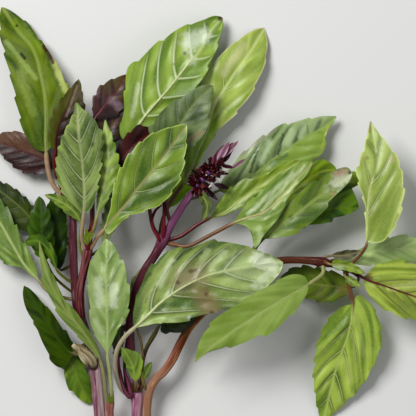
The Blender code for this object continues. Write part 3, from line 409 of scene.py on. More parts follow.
def stem_surface(name, deep, light, flush, streak=0.5, pale=None, zones=(), rough=0.32,
                 side_highlight_and_tone=None):
    """Stem skin: two tones in lengthwise streaks, a flush of a third, and painted highlights as
    pale lengthwise glints.

    Each zone is (start, stop, colour): from `start` to `stop` mm along, the skin turns to it.
    The side tone is (from, to, colour): the skin turns to it from one side of the stem to the
    other.
    A pale side tone is a painted highlight down the lit side.
    """
    material, wire, shader = new_surface(name, Specular_IOR_Level=STEM_GLOSS)
    place = wire.mark("skin", "Vector")
    across = wire.node("SeparateXYZ", None, {"Vector": place}, output="X")
    length = across.other("Z")
    streaks = place.noise(STREAK, 3.0, (1.0, 1.0, 0.06)).within(0.36, 0.66)
    clouds = place.noise(CLOUD, 2.0, (1.0, 1.0, 0.5)).within(0.38, 0.64)
    pores = place.noise(PORE, 2.0, (1.0, 1.0, 0.15))
    colour = (streaks * streak).between(paint(deep), paint(light))
    colour = colour.tint(clouds * 0.6, paint(flush))
    # The side tone: on the purple and violet stems a painted highlight down the lit side, on the
    # brown stem its own purplish side.
    if side_highlight_and_tone:
        start, stop, turned = side_highlight_and_tone
        patchy = streaks * 0.35 + clouds * 0.25 + 0.35
        colour = colour.tint(across.within(start, stop) * patchy, paint(turned))
    for start, stop, turned in zones:
        colour = colour.tint(length.within(start, stop) * (streaks * 0.12 + 0.85), paint(turned))
    # Painted highlights: pale glints in thin lengthwise streaks, kept to about a third where the
    # first zone's tone has come in.
    if pale:
        glints = place.noise(GLINT, 2.0, (1.0, 1.0, 0.04)).within(0.56, 0.72)
        glints = glints * clouds.within(0.8, 0.1) * 0.6
        for start, stop, _ in zones[:1]:
            glints = glints * (length.within(stop, start) * 0.65 + 0.35)
        colour = colour.tint(glints, paint(pale))
    lay_on(shader, colour, roughness=pores * 0.25 + rough,
           relief=streaks * 0.6 + pores * 0.5, strength=0.35, depth=0.4)
    return material


def piece(node, slot, *bodies):
    """One visible piece made of several bodies, each given with its surface."""
    whole, surfaces = bmesh.new(), []
    for surface, body in bodies:
        if surface not in surfaces:
            surfaces.append(surface)
        for face in body.faces:
            face.material_index = surfaces.index(surface)
        part = bpy.data.meshes.new("part")
        body.to_mesh(part)
        body.free()
        whole.from_mesh(part)
        bpy.data.meshes.remove(part)
    for vert in whole.verts:
        vert.co = [min(max(value, low), high) for value, low, high in zip(vert.co, *cad_box)]
    mesh = bpy.data.meshes.new("fresh_" + node)
    whole.to_mesh(mesh)
    whole.free()
    for surface in surfaces:
        mesh.materials.append(surface)
    mesh.shade_smooth()
    mesh.set_sharp_from_angle(angle=CREASE)
    obj = add_object("fresh_" + node, mesh)
    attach(obj, "root")
    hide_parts(node)


# On the purple and violet skins the pale side tone is a painted highlight down the lit side, and
# each skin's pale tone paints highlights as glints. The brown skin's side tone is its own purplish
# flush.
purple_skin = stem_surface(
    "stem_skin_purple", deep=(84, 20, 56), light=(196, 156, 164), flush=(110, 40, 74),
    pale=(232, 214, 212), streak=0.75, zones=[(64, 88, (78, 0, 40))],
    side_highlight_and_tone=(-1.8, 3, (230, 210, 208)))
dusky_skin = stem_surface(
    "stem_skin_dusky", deep=(76, 22, 36), light=(154, 100, 100), flush=(110, 54, 60), streak=0.7,
    zones=[(16, 2, (70, 0, 30))])
sheath_skin = stem_surface(
    "stem_skin_sheath", deep=(92, 80, 56), light=(200, 188, 154), flush=(122, 108, 76),
    streak=0.85, rough=0.6, zones=[(3, 0.5, (70, 40, 36))])
bud_skin = stem_surface(
    "bud_skin", deep=(96, 116, 30), light=(176, 190, 92), flush=(130, 140, 60), streak=0.6)
pink_skin = stem_surface(
    "stem_skin_pink", deep=(132, 66, 70), light=(196, 148, 136), flush=(150, 104, 84),
    pale=(226, 200, 190), streak=0.7)
violet_skin = stem_surface(
    "stem_skin_violet", deep=(112, 50, 84), light=(210, 172, 184), flush=(150, 92, 116),
    pale=(222, 190, 208), streak=0.75, zones=[(58, 80, (78, 2, 36)), (130, 148, (124, 78, 108))],
    side_highlight_and_tone=(-1.4, 2.6, (206, 164, 176)))
crimson_skin = stem_surface(
    "stem_skin_crimson", deep=(80, 10, 26), light=(140, 52, 66), flush=(104, 22, 40), streak=0.6)
brown_skin = stem_surface(
    "stem_skin_brown", deep=(104, 52, 18), light=(190, 128, 76), flush=(124, 70, 40),
    pale=(222, 186, 160), streak=0.85,
    zones=[(112, 146, (78, 52, 24)), (160, 172, (76, 16, 30)), (80, 56, (154, 114, 90))],
    side_highlight_and_tone=(0.1, -1.9, (146, 92, 90)), rough=0.42)
mauve_skin = stem_surface(
    "stalk_skin_mauve", deep=(80, 22, 46), light=(146, 84, 108), flush=(106, 46, 70), streak=0.7)
tan_skin = stem_surface(
    "stalk_skin_tan", deep=(96, 40, 34), light=(158, 120, 88), flush=(120, 74, 54), streak=0.7)
dry_skin = stem_surface(
    "dry_skin", deep=(60, 44, 26), light=(136, 118, 72), flush=(90, 82, 44), streak=0.8, rough=0.6)

piece(
    "stem_left", "stem_purple",
    (purple_skin, stem(STEM_LEFT, [((40.9, 46), 0.3), ((36.4, 84), 0.3), ((32.5, 109), 0.3)])),
    (dusky_skin, stem(STEM_LEFT_FORK, [((43.8, 81.5), 0.3)])),
    (crimson_skin, twig((43.8, 81.5, 16.6, 1.2), (44.2, 86.4, 20.4, 1.3),
                        (44.4, 92.5, 23.6, 0.5))),
    (sheath_skin, stem(STEM_LEFT_SHEATH)),
    (sheath_skin, scale((46.8, 24.6, 12.0), (38.0, 34.6, 13.8), 2.7, 1.0, 0.7)),
    (sheath_skin, scale((45.2, 24.4, 12.4), (43.0, 34.4, 13.9), 2.2, 0.9, 0.6)),
    (sheath_skin, scale((47.8, 25.6, 11.4), (45.2, 33.0, 13.0), 1.9, 0.9, 0.6)),
    (bud_skin, scale((44.1, 85.5, 21.6), (42.2, 91.6, 24.6), 1.2)),
    (bud_skin, scale((44.2, 86.2, 22.0), (45.4, 92.6, 25.2), 1.1)),
    (bud_skin, scale((44.3, 88.0, 22.6), (47.4, 91.8, 25.0), 0.9)),
    (bud_skin, scale((44.0, 88.4, 22.8), (43.2, 94.6, 25.4), 0.9)),
    (crimson_skin, scale((44.3, 90.2, 21.6), (45.6, 96.2, 23.4), 0.7)),
    (purple_skin, scale((44.0, 84.2, 19.0), (46.4, 87.0, 20.4), 0.8)),
)
piece(
    "stem_slim", "stem_pink",
    (pink_skin, stem(STEM_SLIM)),
    (bud_skin, scale((55.0, 6.0, 12.6), (53.8, 10.6, 14.6), 0.8)),
    (bud_skin, scale((55.4, 6.4, 12.8), (56.6, 10.2, 15.0), 0.7)),
)
piece(
    "stem_centre", "stem_purple",
    (violet_skin, stem(STEM_CENTRE, [((68.5, 9), 0.3), ((81.3, 87.5), 0.4)])),
    (mauve_skin, twig((66.4, 9.6, 6.6, 1.1), (64, 9.5, 8, 1.0), (61, 15.5, 10.4, 0.9),
                      (59.5, 23, 11.6, 0.8), (59, 30.5, 11.4, 0.6))),
    (mauve_skin, twig((66.6, 10.5, 7.4, 1.0), (65.5, 10.5, 8.6, 0.9), (63.5, 18, 10, 0.8),
                      (62, 23, 10.6, 0.6))),
    (crimson_skin, twig((80.4, 86.8, 16, 1.1), (79.2, 89.2, 17.4, 0.8), (76, 95.4, 17.6, 0.7),
                        (77.3, 102, 17.2, 0.7), (80.8, 105.6, 16.6, 0.5))),
    (tan_skin, twig((81.6, 87.2, 14.8, 1.3), (84, 86.4, 14.6, 1.15), (87.6, 85.6, 15.4, 1.0))),
    (crimson_skin, twig((81.6, 88.6, 16.4, 1.2), (81.9, 95, 18.4, 1.0), (82, 103, 18.2, 0.8),
                        (81.6, 107, 17.4, 0.5))),
    (dry_skin, scale((66.4, 11.0, 8.0), (66.0, 17.0, 9.4), 1.1)),
    (dry_skin, scale((67.6, 11.4, 7.8), (70.6, 14.8, 9.2), 0.9)),
)
piece(
    "stem_right", "stem_brown",
    (brown_skin, stem(STEM_RIGHT, [((161, 77), 0.3), ((172.5, 74.3), 0.3)])),
    (dry_skin, twig((73.2, 13, 10.6, 0.8), (71.0, 18.5, 12.0, 0.8), (71.4, 26, 12.4, 0.75),
                    (73.6, 34, 12.6, 0.75), (77.6, 40.6, 12.8, 0.8), (80.4, 46.8, 12.6, 0.6),
                    (81.6, 51, 12, 0.5))),
    (dry_skin, twig((71.6, 27, 12.4, 0.7), (71.2, 33, 12.6, 0.6), (70.2, 38, 12.2, 0.6),
                    (68.2, 44, 11.8, 0.5))),
)


# The flower head. A short violet axis carries whorls of open bell-shaped calyces with
# pointed teeth, dark crimson and finely hairy, and a plume of mauve bracts at its end.
FLOWER_AXIS = [(96.8, 112.2, 18.8, 1.5), (98.2, 114.2, 19.8, 1.5), (102.5, 119.5, 21.2, 1.6),
               (107.5, 125, 21.8, 1.3), (111.5, 130.5, 22, 0.7)]
WHORLS = [
    # share of the axis, calyces, their length, how far they lean along the axis
    (0.15, 6, 5.2, -0.35), (0.26, 7, 6.0, 0.0), (0.38, 5, 5.4, 0.4),
    (0.58, 7, 5.2, 0.0), (0.68, 6, 4.8, 0.4), (0.80, 5, 4.0, 0.9),
]
BELL = [
    # share of the calyx's length, radius: up the outside to the mouth, then back inside
    (0.0, 0.5), (0.15, 1.0), (0.45, 1.5), (0.75, 1.4), (1.0, 1.65), (0.86, 1.15), (0.45, 0.7),
]
BELL_SIDES = 10
BELL_MOUTH = 4  # the number of its ring in the list
BELL_RISE = (0.1, 0.2, 1)  # aslant, because some calyces stand straight up
CALYX_FOOT = 0.6  # how far from the axis's middle a calyx begins
TOOTH_LENGTH = 0.8
HAIR_COUNT = 150
HAIR_RADIUS, HAIR_TIP_RADIUS = 0.1, 0.015
HAIR_LENGTH, LONG_HAIR_LENGTH = 1.0, 2.2
HAIR_SPREAD, HAIR_TIP_SPREAD = 0.7, 1.6  # how far roots and tips stray

axis_skin = stem_surface(
    "flower_axis_skin", deep=(78, 34, 84), light=(150, 104, 156), flush=(90, 40, 90),
    pale=(196, 164, 204), streak=0.7)
calyx_skin = stem_surface(
    "calyx_skin", deep=(44, 2, 12), light=(104, 28, 40), flush=(66, 6, 20), streak=0.55,
    rough=0.35)
calyx_skin_brown = stem_surface(
    "calyx_skin_brown", deep=(60, 16, 22), light=(134, 76, 78), flush=(88, 34, 38), streak=0.6,
    rough=0.35)
bract_skin = stem_surface(
    "bract_skin", deep=(66, 18, 34), light=(142, 84, 104), flush=(92, 36, 56), streak=0.8,
    rough=0.4)
bract_skin_pale = stem_surface(
    "bract_skin_pale", deep=(110, 64, 84), light=(214, 182, 196), flush=(140, 92, 110), streak=0.8,
    rough=0.4)
bract_skin_dark = stem_surface(
    "bract_skin_dark", deep=(30, 0, 8), light=(78, 20, 34), flush=(48, 4, 16), streak=0.5,
    rough=0.35)
hair_skin = stem_surface(
    "hair_skin", deep=(170, 140, 154), light=(220, 204, 212), flush=(190, 164, 172), rough=0.5)
stamen_skin = stem_surface(
    "stamen_skin", deep=(196, 190, 180), light=(240, 238, 230), flush=(220, 206, 204), rough=0.4)

BRACTS = [
    # root on the head, tip, half width
    (bract_skin_pale, (110.4, 129.0, 25.4), (119.3, 137.5, 27.4), 1.5),
    (bract_skin_pale, (108.6, 127.4, 26.6), (114.8, 137.0, 28.6), 1.9),
    (bract_skin, (107.2, 126.6, 25.6), (112.0, 135.4, 27.6), 1.8),
    (bract_skin, (110.4, 128.0, 24.6), (117.4, 134.4, 25.6), 1.4),
    (bract_skin, (109.6, 129, 24.4), (116.6, 136.8, 25.8), 1.4),
    (bract_skin, (106.4, 125.4, 25.4), (109.0, 132.4, 27.0), 1.5),
    (calyx_skin, (110.6, 126.6, 25.0), (115.8, 131.8, 25.8), 1.4),
    (calyx_skin, (108.6, 124.8, 26.0), (112.2, 130.2, 27.6), 1.3),
    (bract_skin, (110.4, 125.2, 22.6), (117.6, 124.0, 21.6), 1.0),
    (bract_skin_pale, (115.4, 123.6, 21.8), (123.4, 129.0, 22.4), 0.95),
    (bract_skin_dark, (107, 116, 21.4), (114.6, 113.7, 21.6), 1.35),
    (bract_skin_dark, (102, 114.2, 20.6), (109.0, 107.8, 20.6), 1.4),
    (calyx_skin, (100, 112.4, 19.8), (101.0, 105.4, 19), 0.7),
    (bract_skin_dark, (101, 119.4, 21), (95.4, 123.4, 22.4), 1.2),
    (bract_skin_dark, (100.4, 117.4, 21), (94.6, 118.0, 22.0), 1.1),
    (calyx_skin, (106, 123, 23), (104.4, 128.0, 24.6), 1.1),
    (calyx_skin, (108.5, 122, 23), (114.6, 121.0, 23.4), 1.1),
]
STAMENS = [
    # place of its pale tip, radius
    ((105.3, 115.0, 25.2), 0.7), ((105.9, 115.9, 25.0), 0.55), ((104.7, 114.4, 24.8), 0.5),
    ((109.9, 117.8, 25.2), 0.6), ((109.3, 118.6, 25.0), 0.5), ((113.0, 122.8, 25.0), 0.7),
    ((112.3, 123.5, 25.2), 0.5), ((113.6, 122.0, 24.8), 0.5), ((110.6, 119.6, 25.0), 0.4),
    ((103.2, 120.4, 25.4), 0.45),
]


def calyx(root, direction, length, chance):
    """An open bell on its root with five pointed teeth round its mouth."""
    forward, side, up = directions(direction, BELL_RISE)
    wide = chance.uniform(0.85, 1.1)
    rings = []
    for number, (share, radius) in enumerate(BELL):
        ring = []
        for corner, angle in enumerate(np.arange(BELL_SIDES) / BELL_SIDES * math.tau):
            tooth = (0.5 if corner % 2 == 0 else -0.2) * (number == BELL_MOUTH)
            reach = radius * wide + max(tooth, 0) * 0.25
            x, y = math.cos(angle) * reach, math.sin(angle) * reach
            place = root + forward * (share * length + tooth) + side * x + up * y
            ring.append((*place, x, y, share * length))
        rings.append(ring)
    return pod(rings)


def placed(body, place):
    """A small body moved to its plan point, marked so that it takes a stem's paint."""
    body.verts.layers.float_vector.new("skin")
    bmesh.ops.translate(body, verts=body.verts, vec=on_plan(place))
    return body


def hair(root, tip):
    """One fine stiff hair."""
    reach = Vector(tip) - Vector(root)
    body = bmesh.new()
    bmesh.ops.create_cone(body, cap_ends=True, segments=3, radius1=HAIR_RADIUS * MM,
                          radius2=HAIR_TIP_RADIUS * MM, depth=reach.length * MM)
    turn = Vector((0, 0, 1)).rotation_difference(reach).to_matrix()
    bmesh.ops.rotate(body, verts=body.verts, matrix=turn)
    return placed(body, (np.array(root) + np.array(tip)) / 2)


def stamen_tip(place, radius):
    """The pale knob at the end of a stamen."""
    body = bmesh.new()
    bmesh.ops.create_icosphere(body, subdivisions=1, radius=radius * MM)
    return placed(body, place)


flower_chance = random.Random(7)
axis = smooth_path(FLOWER_AXIS)
flower_bodies = [(axis_skin, twig(*FLOWER_AXIS))]
hairy = []
for whorl, (share, count, length, lean) in enumerate(WHORLS):
    centre, after = along(axis, np.array([share, share + 0.01]))[:, :3]
    forward = Vector(unit(after - centre))
    side = forward.orthogonal().normalized()
    for number in range(count):
        turn = math.tau * (number + 0.5 * (whorl % 2) + flower_chance.uniform(-0.25, 0.25)) / count
        out = Matrix.Rotation(turn, 3, forward) @ side
        direction = (out + forward * (lean + flower_chance.uniform(-0.25, 0.25))).normalized()
        reach = length * flower_chance.uniform(0.75, 1.15)
        bell = reach - TOOTH_LENGTH
        root = centre + np.array(direction) * CALYX_FOOT
        flower_bodies.append((calyx_skin_brown if number % 3 == 0 else calyx_skin,
                              calyx(root, direction, bell, flower_chance)))
        hairy.append((root + np.array(direction) * bell, np.array(direction)))
for surface, root, tip, half_width in BRACTS:
    flower_bodies.append((surface, scale(root, tip, half_width, 0.45, 0.35)))
    hairy.append(((np.array(root) + np.array(tip)) / 2, unit(np.array(tip) - np.array(root))))
for number in range(HAIR_COUNT):
    start, direction = hairy[number % len(hairy)]
    stray = np.array([flower_chance.uniform(-1, 1) for _ in range(3)])
    grown = LONG_HAIR_LENGTH if number % 4 == 0 else HAIR_LENGTH
    tip = start + direction * grown + stray * HAIR_TIP_SPREAD
    flower_bodies.append((hair_skin, hair(start + stray * HAIR_SPREAD, tip)))
for place, radius in STAMENS:
    flower_bodies.append((stamen_skin, stamen_tip(place, radius)))
piece("flower_head", "flower", *flower_bodies)


# The left sprig's leaves. A basil leaf is a thin soft blade on a round stalk, which runs on
# as a raised pale midrib. Side veins leave it in pairs and curve forward to the toothed
# edge, and the green between them swells a little. Each stalk grows out of its stem.
BLADE_PITCH = 0.95  # between a blade's columns of points
BLADE_THICKNESS = 0.42
LOWEST = 0.05  # a blade's least height over the floor
STALK_SIDES, STALK_PITCH = 10, 1.5
STALK_LOWEST = 0.15
STALK_RIM = 9.0  # a stalk counts as lying this far inside a blade's rim
WAVES_ALONG, WAVES_ACROSS = 9.0, 2.2  # a blade's slow waves, in radians from end to end
RIPPLE_PITCH, RIPPLE_HEIGHT = 9.0, 0.25
SWELL_PITCH = 12.0  # how widely the blade's uneven rises are spread
FLECK, GRAIN, NET = 2.2, 0.5, 1.7  # widths of a leaf skin's marks
HALVES_BLEND = 0.6  # how far from the midrib one half's tone is complete: its own colour, and on folded leaves painted light and shade
TIP_START = 0.62  # share of the blade from which the tip's tone comes in
FURROW_SHADE_DIM, STALK_DIM = 0.45, 0.7  # the painted furrow shade's and a dark stalk fleck's share of their tone
SPOT_FULL, SPOT_END, SPOT_RAGGED = 0.15, 1.1, 0.4  # shares of a spot's radius
COAT_ROUGHNESS = 0.25


@dataclass
class Leaf:
    """One leaf: its stalk and midrib run through `rib` from the stem's axis to the tip.

    `stalk` counts the rib's points before the blade begins. `left` and `right` are the
    blade's edges seen from above, walking from base to tip. `lift` raises each edge over
    the midrib and `wave` ruffles them.
    """

    name: str
    slot: str
    stalk: int
    rib: list
    left: list
    right: list
    lift: tuple = (0.2, 0.2)
    wave: float = 0.5
    tooth: float = 0.7
    stalk_half: float = 0.8


@dataclass
class Look:
    """A leaf's paint and relief. Colours are 0 to 255, lengths are in millimetres."""

    light: tuple
    dark: tuple
    vein: tuple
    rib: tuple
    stalk: tuple
    left: tuple = None  # the left half's tone: its own colour, and on folded leaves painted light and shade
    right: tuple = None
    tip: tuple = None
    edge: tuple = None
    veins: int = 5  # pairs of side veins
    vein_width: float = 0.5
    vein_strength: float = 0.45
    rib_half: float = 0.55  # the midrib's half width, as a share of the stalk's
    slant: float = 0.75  # how far a side vein runs forward for each step outward
    curve: float = 0.45
    quilt: float = 0.8  # how far the green swells between the side veins
    furrow_shade: float = 0.3  # how dark the painted shade in the furrows beside the veins is
    mottle: float = 0.6
    roughness: float = 0.4
    shine: float = 0.45
    coat: float = 0.0
    teeth: float = 5.6  # from tooth to tooth
    # real marks, painted highlights and painted shade: each (x, y, radius, colour, strength), and
    # for a streak its end's x and y
    spots_and_painted_light: list = field(default_factory=list)


def blade(leaf, look, chance):
    """The leaf's thin toothed blade, waved and swollen between its side veins."""
    path = smooth_path(leaf.rib[leaf.stalk:])
    length = path_steps(path)[-1]
    teeth = max(3, round(length / look.teeth))
    rows = round(look.teeth / BLADE_PITCH)
    shares = np.linspace(0.004, 0.997, teeth * rows + 1)
    base, tip = leaf.rib[leaf.stalk][:2], leaf.rib[-1][:2]
    edges = [along(smooth_path([base, *edge, tip]), shares) for edge in (leaf.left, leaf.right)]
    mid = along(path, shares)
    widest = max(np.linalg.norm(edge - mid[:, :2], axis=1).max() for edge in edges)
    half_columns = max(4, round(widest / BLADE_PITCH))
    spread = np.linspace(-1, 1, 2 * half_columns + 1)
    s, t = np.meshgrid(shares, spread, indexing="ij")  # along the leaf, and across it
    side = np.abs(t)
    edge = np.where(t[..., None] < 0, edges[0][:, None, :], edges[1][:, None, :])
    out = edge - mid[:, None, :2]
    half = np.linalg.norm(out, axis=2)
    fullness = np.sin(math.pi * np.clip(s, 0.04, 0.97)) ** 0.6

    # The teeth. Each juts out slowly towards the tip and falls back at once.
    number, saw = np.divmod(np.arange(len(shares)), rows)
    jut = np.array([chance.uniform(0.5, 1.2) for _ in range(2 * teeth + 2)])
    jut = jut[2 * number[:, None] + (t > 0)] * ((saw / (rows - 1)) ** 0.8 - 0.55)[:, None]
    push = leaf.tooth * 1.5 * look.teeth**0.2 * jut * side**9 * fullness
    push = push * np.clip(s * 5 - 0.3, 0.1, 1)
    place = mid[:, None, :2] + out * (side * (1 + push / np.maximum(half, 1.0)))[..., None]

    # The side veins, which lie where the phase is a whole number, and the swelling between.
    lateral = side * half
    slant = look.slant * np.where(t < 0, chance.uniform(0.88, 1.12), chance.uniform(0.88, 1.12))
    forward = (slant * lateral + look.curve * lateral**2 / widest) / length
    wobble = 0.010 * np.sin(chance.uniform(0, 6) + 11 * s + 2.5 * t) * side
    started = s - forward + wobble
    phase = look.veins * np.sign(started) * np.abs(started) ** 0.9
    uneven = sum(np.sin(chance.uniform(2, 5) * (s * length + a * t * half) / SWELL_PITCH
                        + chance.uniform(0, 6)) for a in (1.7, -1.3, 0.4)) / 3
    swell = ((1 - np.abs(2 * (phase % 1) - 1) ** 2.2) * np.clip(lateral / 2.5, 0, 1)
             * (1 - side**5) * np.clip(phase * 1.5, 0, 1) * np.clip(half / 5, 0, 1)
             * (0.65 + 0.75 * uneven))

    # The blade's height, with its raised edges, slow waves and rippled rim.
    lift = np.where(t < 0, *leaf.lift) * fullness * side**1.5
    wave = leaf.wave * np.sin(WAVES_ALONG * s + WAVES_ACROSS * t + len(leaf.name)) * t * t
    ripple = RIPPLE_HEIGHT * np.sin(math.tau * s * length / RIPPLE_PITCH + chance.uniform(0, 6)
                                    + 1.5 * np.sin(5 * s)) * side**4
    height = (mid[:, None, 2] + lift + (wave + ripple * min(1, leaf.wave * 2)) * fullness
              + look.quilt * swell + 0.35 * uneven * fullness * side)
    height = np.maximum(height, LOWEST) + BLADE_THICKNESS / 2
    body = skin(np.dstack([place, height]), {
        "blade": np.dstack([t * half, s * length, (1 - side) * half]),
        "vein": phase,
        "stalk": np.zeros_like(s),
    }, closed=False)
    if sum(face.normal.z for face in body.faces) < 0:
        bmesh.ops.reverse_faces(body, faces=body.faces)
    bmesh.ops.solidify(body, geom=body.faces[:], thickness=BLADE_THICKNESS * MM)
    bmesh.ops.recalc_face_normals(body, faces=body.faces)
    return body


def stalk(leaf, look):
    """The leaf's stalk, running on as its tapering midrib."""
    path = smooth_path(leaf.rib)
    steps = path_steps(path)
    start = steps[leaf.stalk * CURVE_PIECES]
    into = (steps - start) / (steps[-1] - start)
    ahead = np.clip(into, 0, 1)
    radii = leaf.stalk_half * np.where(into < 0, 1.0 + 0.25 * np.exp(-(steps / 1.6)),
                                       look.rib_half * (1 - ahead * 0.88) ** 1.1)
    even = np.linspace(0, steps[-1], len(steps))
    path[:, 2] = np.maximum(path[:, 2] + 0.12 * (into > 0) * (1 - ahead), STALK_LOWEST)
    body = tube(path, np.interp(even, steps, radii), STALK_SIDES, STALK_PITCH, flatness=0.85)
    skin_layer = body.verts.layers.float_vector["skin"]
    blade_layer = body.verts.layers.float_vector.new("blade")
    body.verts.layers.float.new("vein")
    stalk_layer = body.verts.layers.float.new("stalk")
    for vert in body.verts:
        across, _, length = vert[skin_layer]
        vert[blade_layer] = (across, length - start, STALK_RIM)
        vert[stalk_layer] = 1.0
    return body


def leaf_surface(leaf, look):
    """Leaf paint: clouded green, pale veins with painted shade in their furrows, spots of real
    marks and painted light, and the stalk's tone.
    """
    material, wire, shader = new_surface(
        leaf.name + "_surface", Specular_IOR_Level=look.shine, Coat_Weight=look.coat,
        Coat_Roughness=COAT_ROUGHNESS)
    place = wire.node("TexCoord", output="Object")
    across = wire.node("SeparateXYZ", None, {"Vector": wire.mark("blade", "Vector")}, "X")
    forward, rim = across.other("Y"), across.other("Z")
    phase = wire.mark("vein", "Fac")
    length = path_steps(smooth_path(leaf.rib[leaf.stalk:]))[-1]
    spacing = 0.75 * length / look.veins  # from one side vein to the next, straight across

    veinward = wire.node("CombineXYZ", None,
                         {"X": phase * 1.1, "Y": across * 0.07, "Z": len(leaf.name)})
    clouds = veinward.noise(1.0, 1.0).within(0.34, 0.66)
    flecks = place.noise(FLECK * MM, 3.0).within(0.3, 0.7)
    grain = place.noise(GRAIN * MM, 2.0)
    lateral = abs(across)
    gap = abs(wire.maths("FRACT", phase + 0.5) - 0.5) * spacing
    real_vein = phase.within(0.25, 0.7) * lateral.within(0.1, 0.6) * rim.within(0.2, 3.0)
    thin = rim.within(0.0, 12.0) * 0.5 + 0.5
    line = gap.within(look.vein_width * 0.75, look.vein_width * 0.2) * real_vein * thin
    furrow_shade = gap.within(look.vein_width * 3.2, look.vein_width * 0.7) * real_vein
    midrib = lateral.within(leaf.stalk_half * 1.1, leaf.stalk_half * 0.4)
    net = wire.node("TexVoronoi", {"feature": "DISTANCE_TO_EDGE"},
                    {"Vector": place, "Scale": 1 / (NET * MM)})
    net = net.within(0.12, 0.02) * rim.within(0.3, 2.0)

    green = clouds * look.mottle + flecks * 0.08 + 0.08
    colour = green.between(paint(look.dark), paint(look.light))
    # Painted shade: the furrows beside the side veins are darkened.
    colour = colour.tint(furrow_shade * look.furrow_shade, paint(look.dark, FURROW_SHADE_DIM))
    # A half's own colour, and on folded leaves painted light and shade: the half turned to the
    # lamp lighter, the other darker.
    for tone, start in ((look.left, HALVES_BLEND), (look.right, -HALVES_BLEND)):
        if tone:
            colour = colour.tint(across.within(start, -start) * (flecks * 0.2 + 0.75), paint(tone))
    if look.tip:
        tipward = (forward + clouds * 8).within(length * TIP_START, length)
        colour = colour.tint(tipward, paint(look.tip))
    colour = colour.tint(net * 0.07, paint(look.vein))
    colour = colour.tint(line * look.vein_strength, paint(look.vein))
    colour = colour.tint(midrib * 0.55, paint(look.rib))
    if look.edge:
        colour = colour.tint(rim.within(0.9, 0.1) * 0.8, paint(look.edge))
    # Spots: real marks such as bruises and dark flecks, and painted highlights and painted shade
    # where light or shadow falls on the blade.
    for x, y, radius, tone, strength, *end in look.spots_and_painted_light:
        reach = place.distance(on_plan((x, y, 0)), on_plan((*(end or (x, y)), 0)))
        ragged = reach + (flecks - 0.5) * (radius * SPOT_RAGGED * MM)
        inside = ragged.within(radius * SPOT_END * MM, radius * SPOT_FULL * MM)
        colour = colour.tint(inside * strength, paint(tone))
    stalk_colour = forward.within(-4.0, 6.0).between(paint(look.stalk), paint(look.rib))
    stalk_colour = stalk_colour.tint(flecks * 0.3, paint(look.stalk, STALK_DIM))
    colour = colour.tint(wire.mark("stalk", "Fac"), stalk_colour)
    lay_on(shader, colour, roughness=grain * 0.2 + flecks * 0.1 + (look.roughness - 0.15),
           relief=line * 0.6 - net * 0.08 + grain * 0.14 + flecks * 0.12,
           strength=0.4, depth=0.35)
    return material


def grow(leaf, look):
    """Makes one leaf and stands it in for its node."""
    surface = leaf_surface(leaf, look)
    piece(leaf.name, leaf.slot, (surface, blade(leaf, look, random.Random(leaf.name))),
          (surface, stalk(leaf, look)))


grow(Leaf(
    "leaf_left_tall", "leaf_yellow", stalk=5, lift=(0.5, 1), stalk_half=1.25,
    rib=[(32.5, 108, 13), (30, 111.5, 12.6), (27.5, 114, 12.4), (25, 119, 12.2), (23.5, 126, 12),
         (23, 132, 11.6), (22.5, 141, 11), (22.7, 153, 10.5), (21, 166.5, 9.5), (16.5, 183, 6.4),
         (8.5, 193, 2.8), (0, 205.5, 0.12)],
    left=[(17, 134), (12, 141.5), (9.5, 150), (7, 162), (3.5, 175), (0, 188), (-1, 198)],
    right=[(29, 139), (34, 150), (35, 161), (31.5, 170), (27, 178.5), (22, 185.5), (14, 196),
           (6, 202.5)],
), Look(
    light=(116, 134, 26), dark=(52, 74, 0), vein=(146, 166, 84), rib=(146, 162, 88),
    stalk=(166, 138, 110), veins=4, vein_width=0.45, rib_half=0.45, slant=2, curve=0.7, quilt=1.2,
    roughness=0.5, shine=0.12, teeth=12,
    # The first two spots are painted light on the shaded upper blade, the two pale streaks on the
    # left half are painted sheen, and the brown and near-black dots are real marks.
    spots_and_painted_light=[(7, 197, 4, (122, 144, 34), 0.6, 20, 184),
           (17.9, 184.6, 4, (114, 136, 14), 0.5, 25.7, 164.5),
           (10, 172, 3.2, (160, 180, 96), 0.35, 16.5, 152),
           (2.5, 187.5, 1.9, (176, 196, 116), 0.4, 17.9, 169),
           (26.8, 177.7, 2.4, (206, 214, 130), 0.6, 32.6, 163),
           (21.6, 185.2, 1.3, (66, 40, 22), 0.9, 26.2, 177),
           (10.3, 181.4, 1.2, (38, 34, 14), 0.9, 12, 179.2), (7.8, 195.7, 1.1, (50, 46, 16), 0.8),
           (26, 143, 5, (86, 112, 28), 0.5)],
))
grow(Leaf(
    "leaf_left_front", "leaf_sage", stalk=4, lift=(1.2, 1), stalk_half=1,
    rib=[(44, 83, 17), (42, 85, 18.6), (41, 90.5, 20.5), (41.5, 96, 21.8), (42, 101, 22.5),
         (42.5, 110, 23.5), (42, 120, 24.2), (41, 130, 24.5), (39.7, 140, 24.2),
         (38.5, 156.5, 23)],
    left=[(38.5, 104), (32, 111), (29, 118), (28.3, 127), (30, 135), (32, 141), (36, 149)],
    right=[(46, 104), (48.5, 111), (50.3, 121), (51.5, 132), (51.8, 140), (46.5, 149), (41, 154)],
), Look(
    light=(158, 178, 98), dark=(58, 80, 20), vein=(190, 204, 144), rib=(168, 176, 124),
    stalk=(164, 140, 116), veins=6, vein_width=0.6, vein_strength=0.7, rib_half=0.5, slant=1,
    curve=0.9, quilt=1.1, furrow_shade=0.55, roughness=0.55, shine=0.3, teeth=5.2,
    spots_and_painted_light=[(40, 124, 4.5, (84, 106, 40), 0.45, 43.5, 140),
           (47, 131, 2.6, (66, 88, 20), 0.6, 44, 122), (46, 135.5, 2.2, (48, 54, 28), 0.6),
           (36, 112, 5, (150, 166, 110), 0.4), (40.5, 155, 3, (130, 164, 70), 0.5)],
))
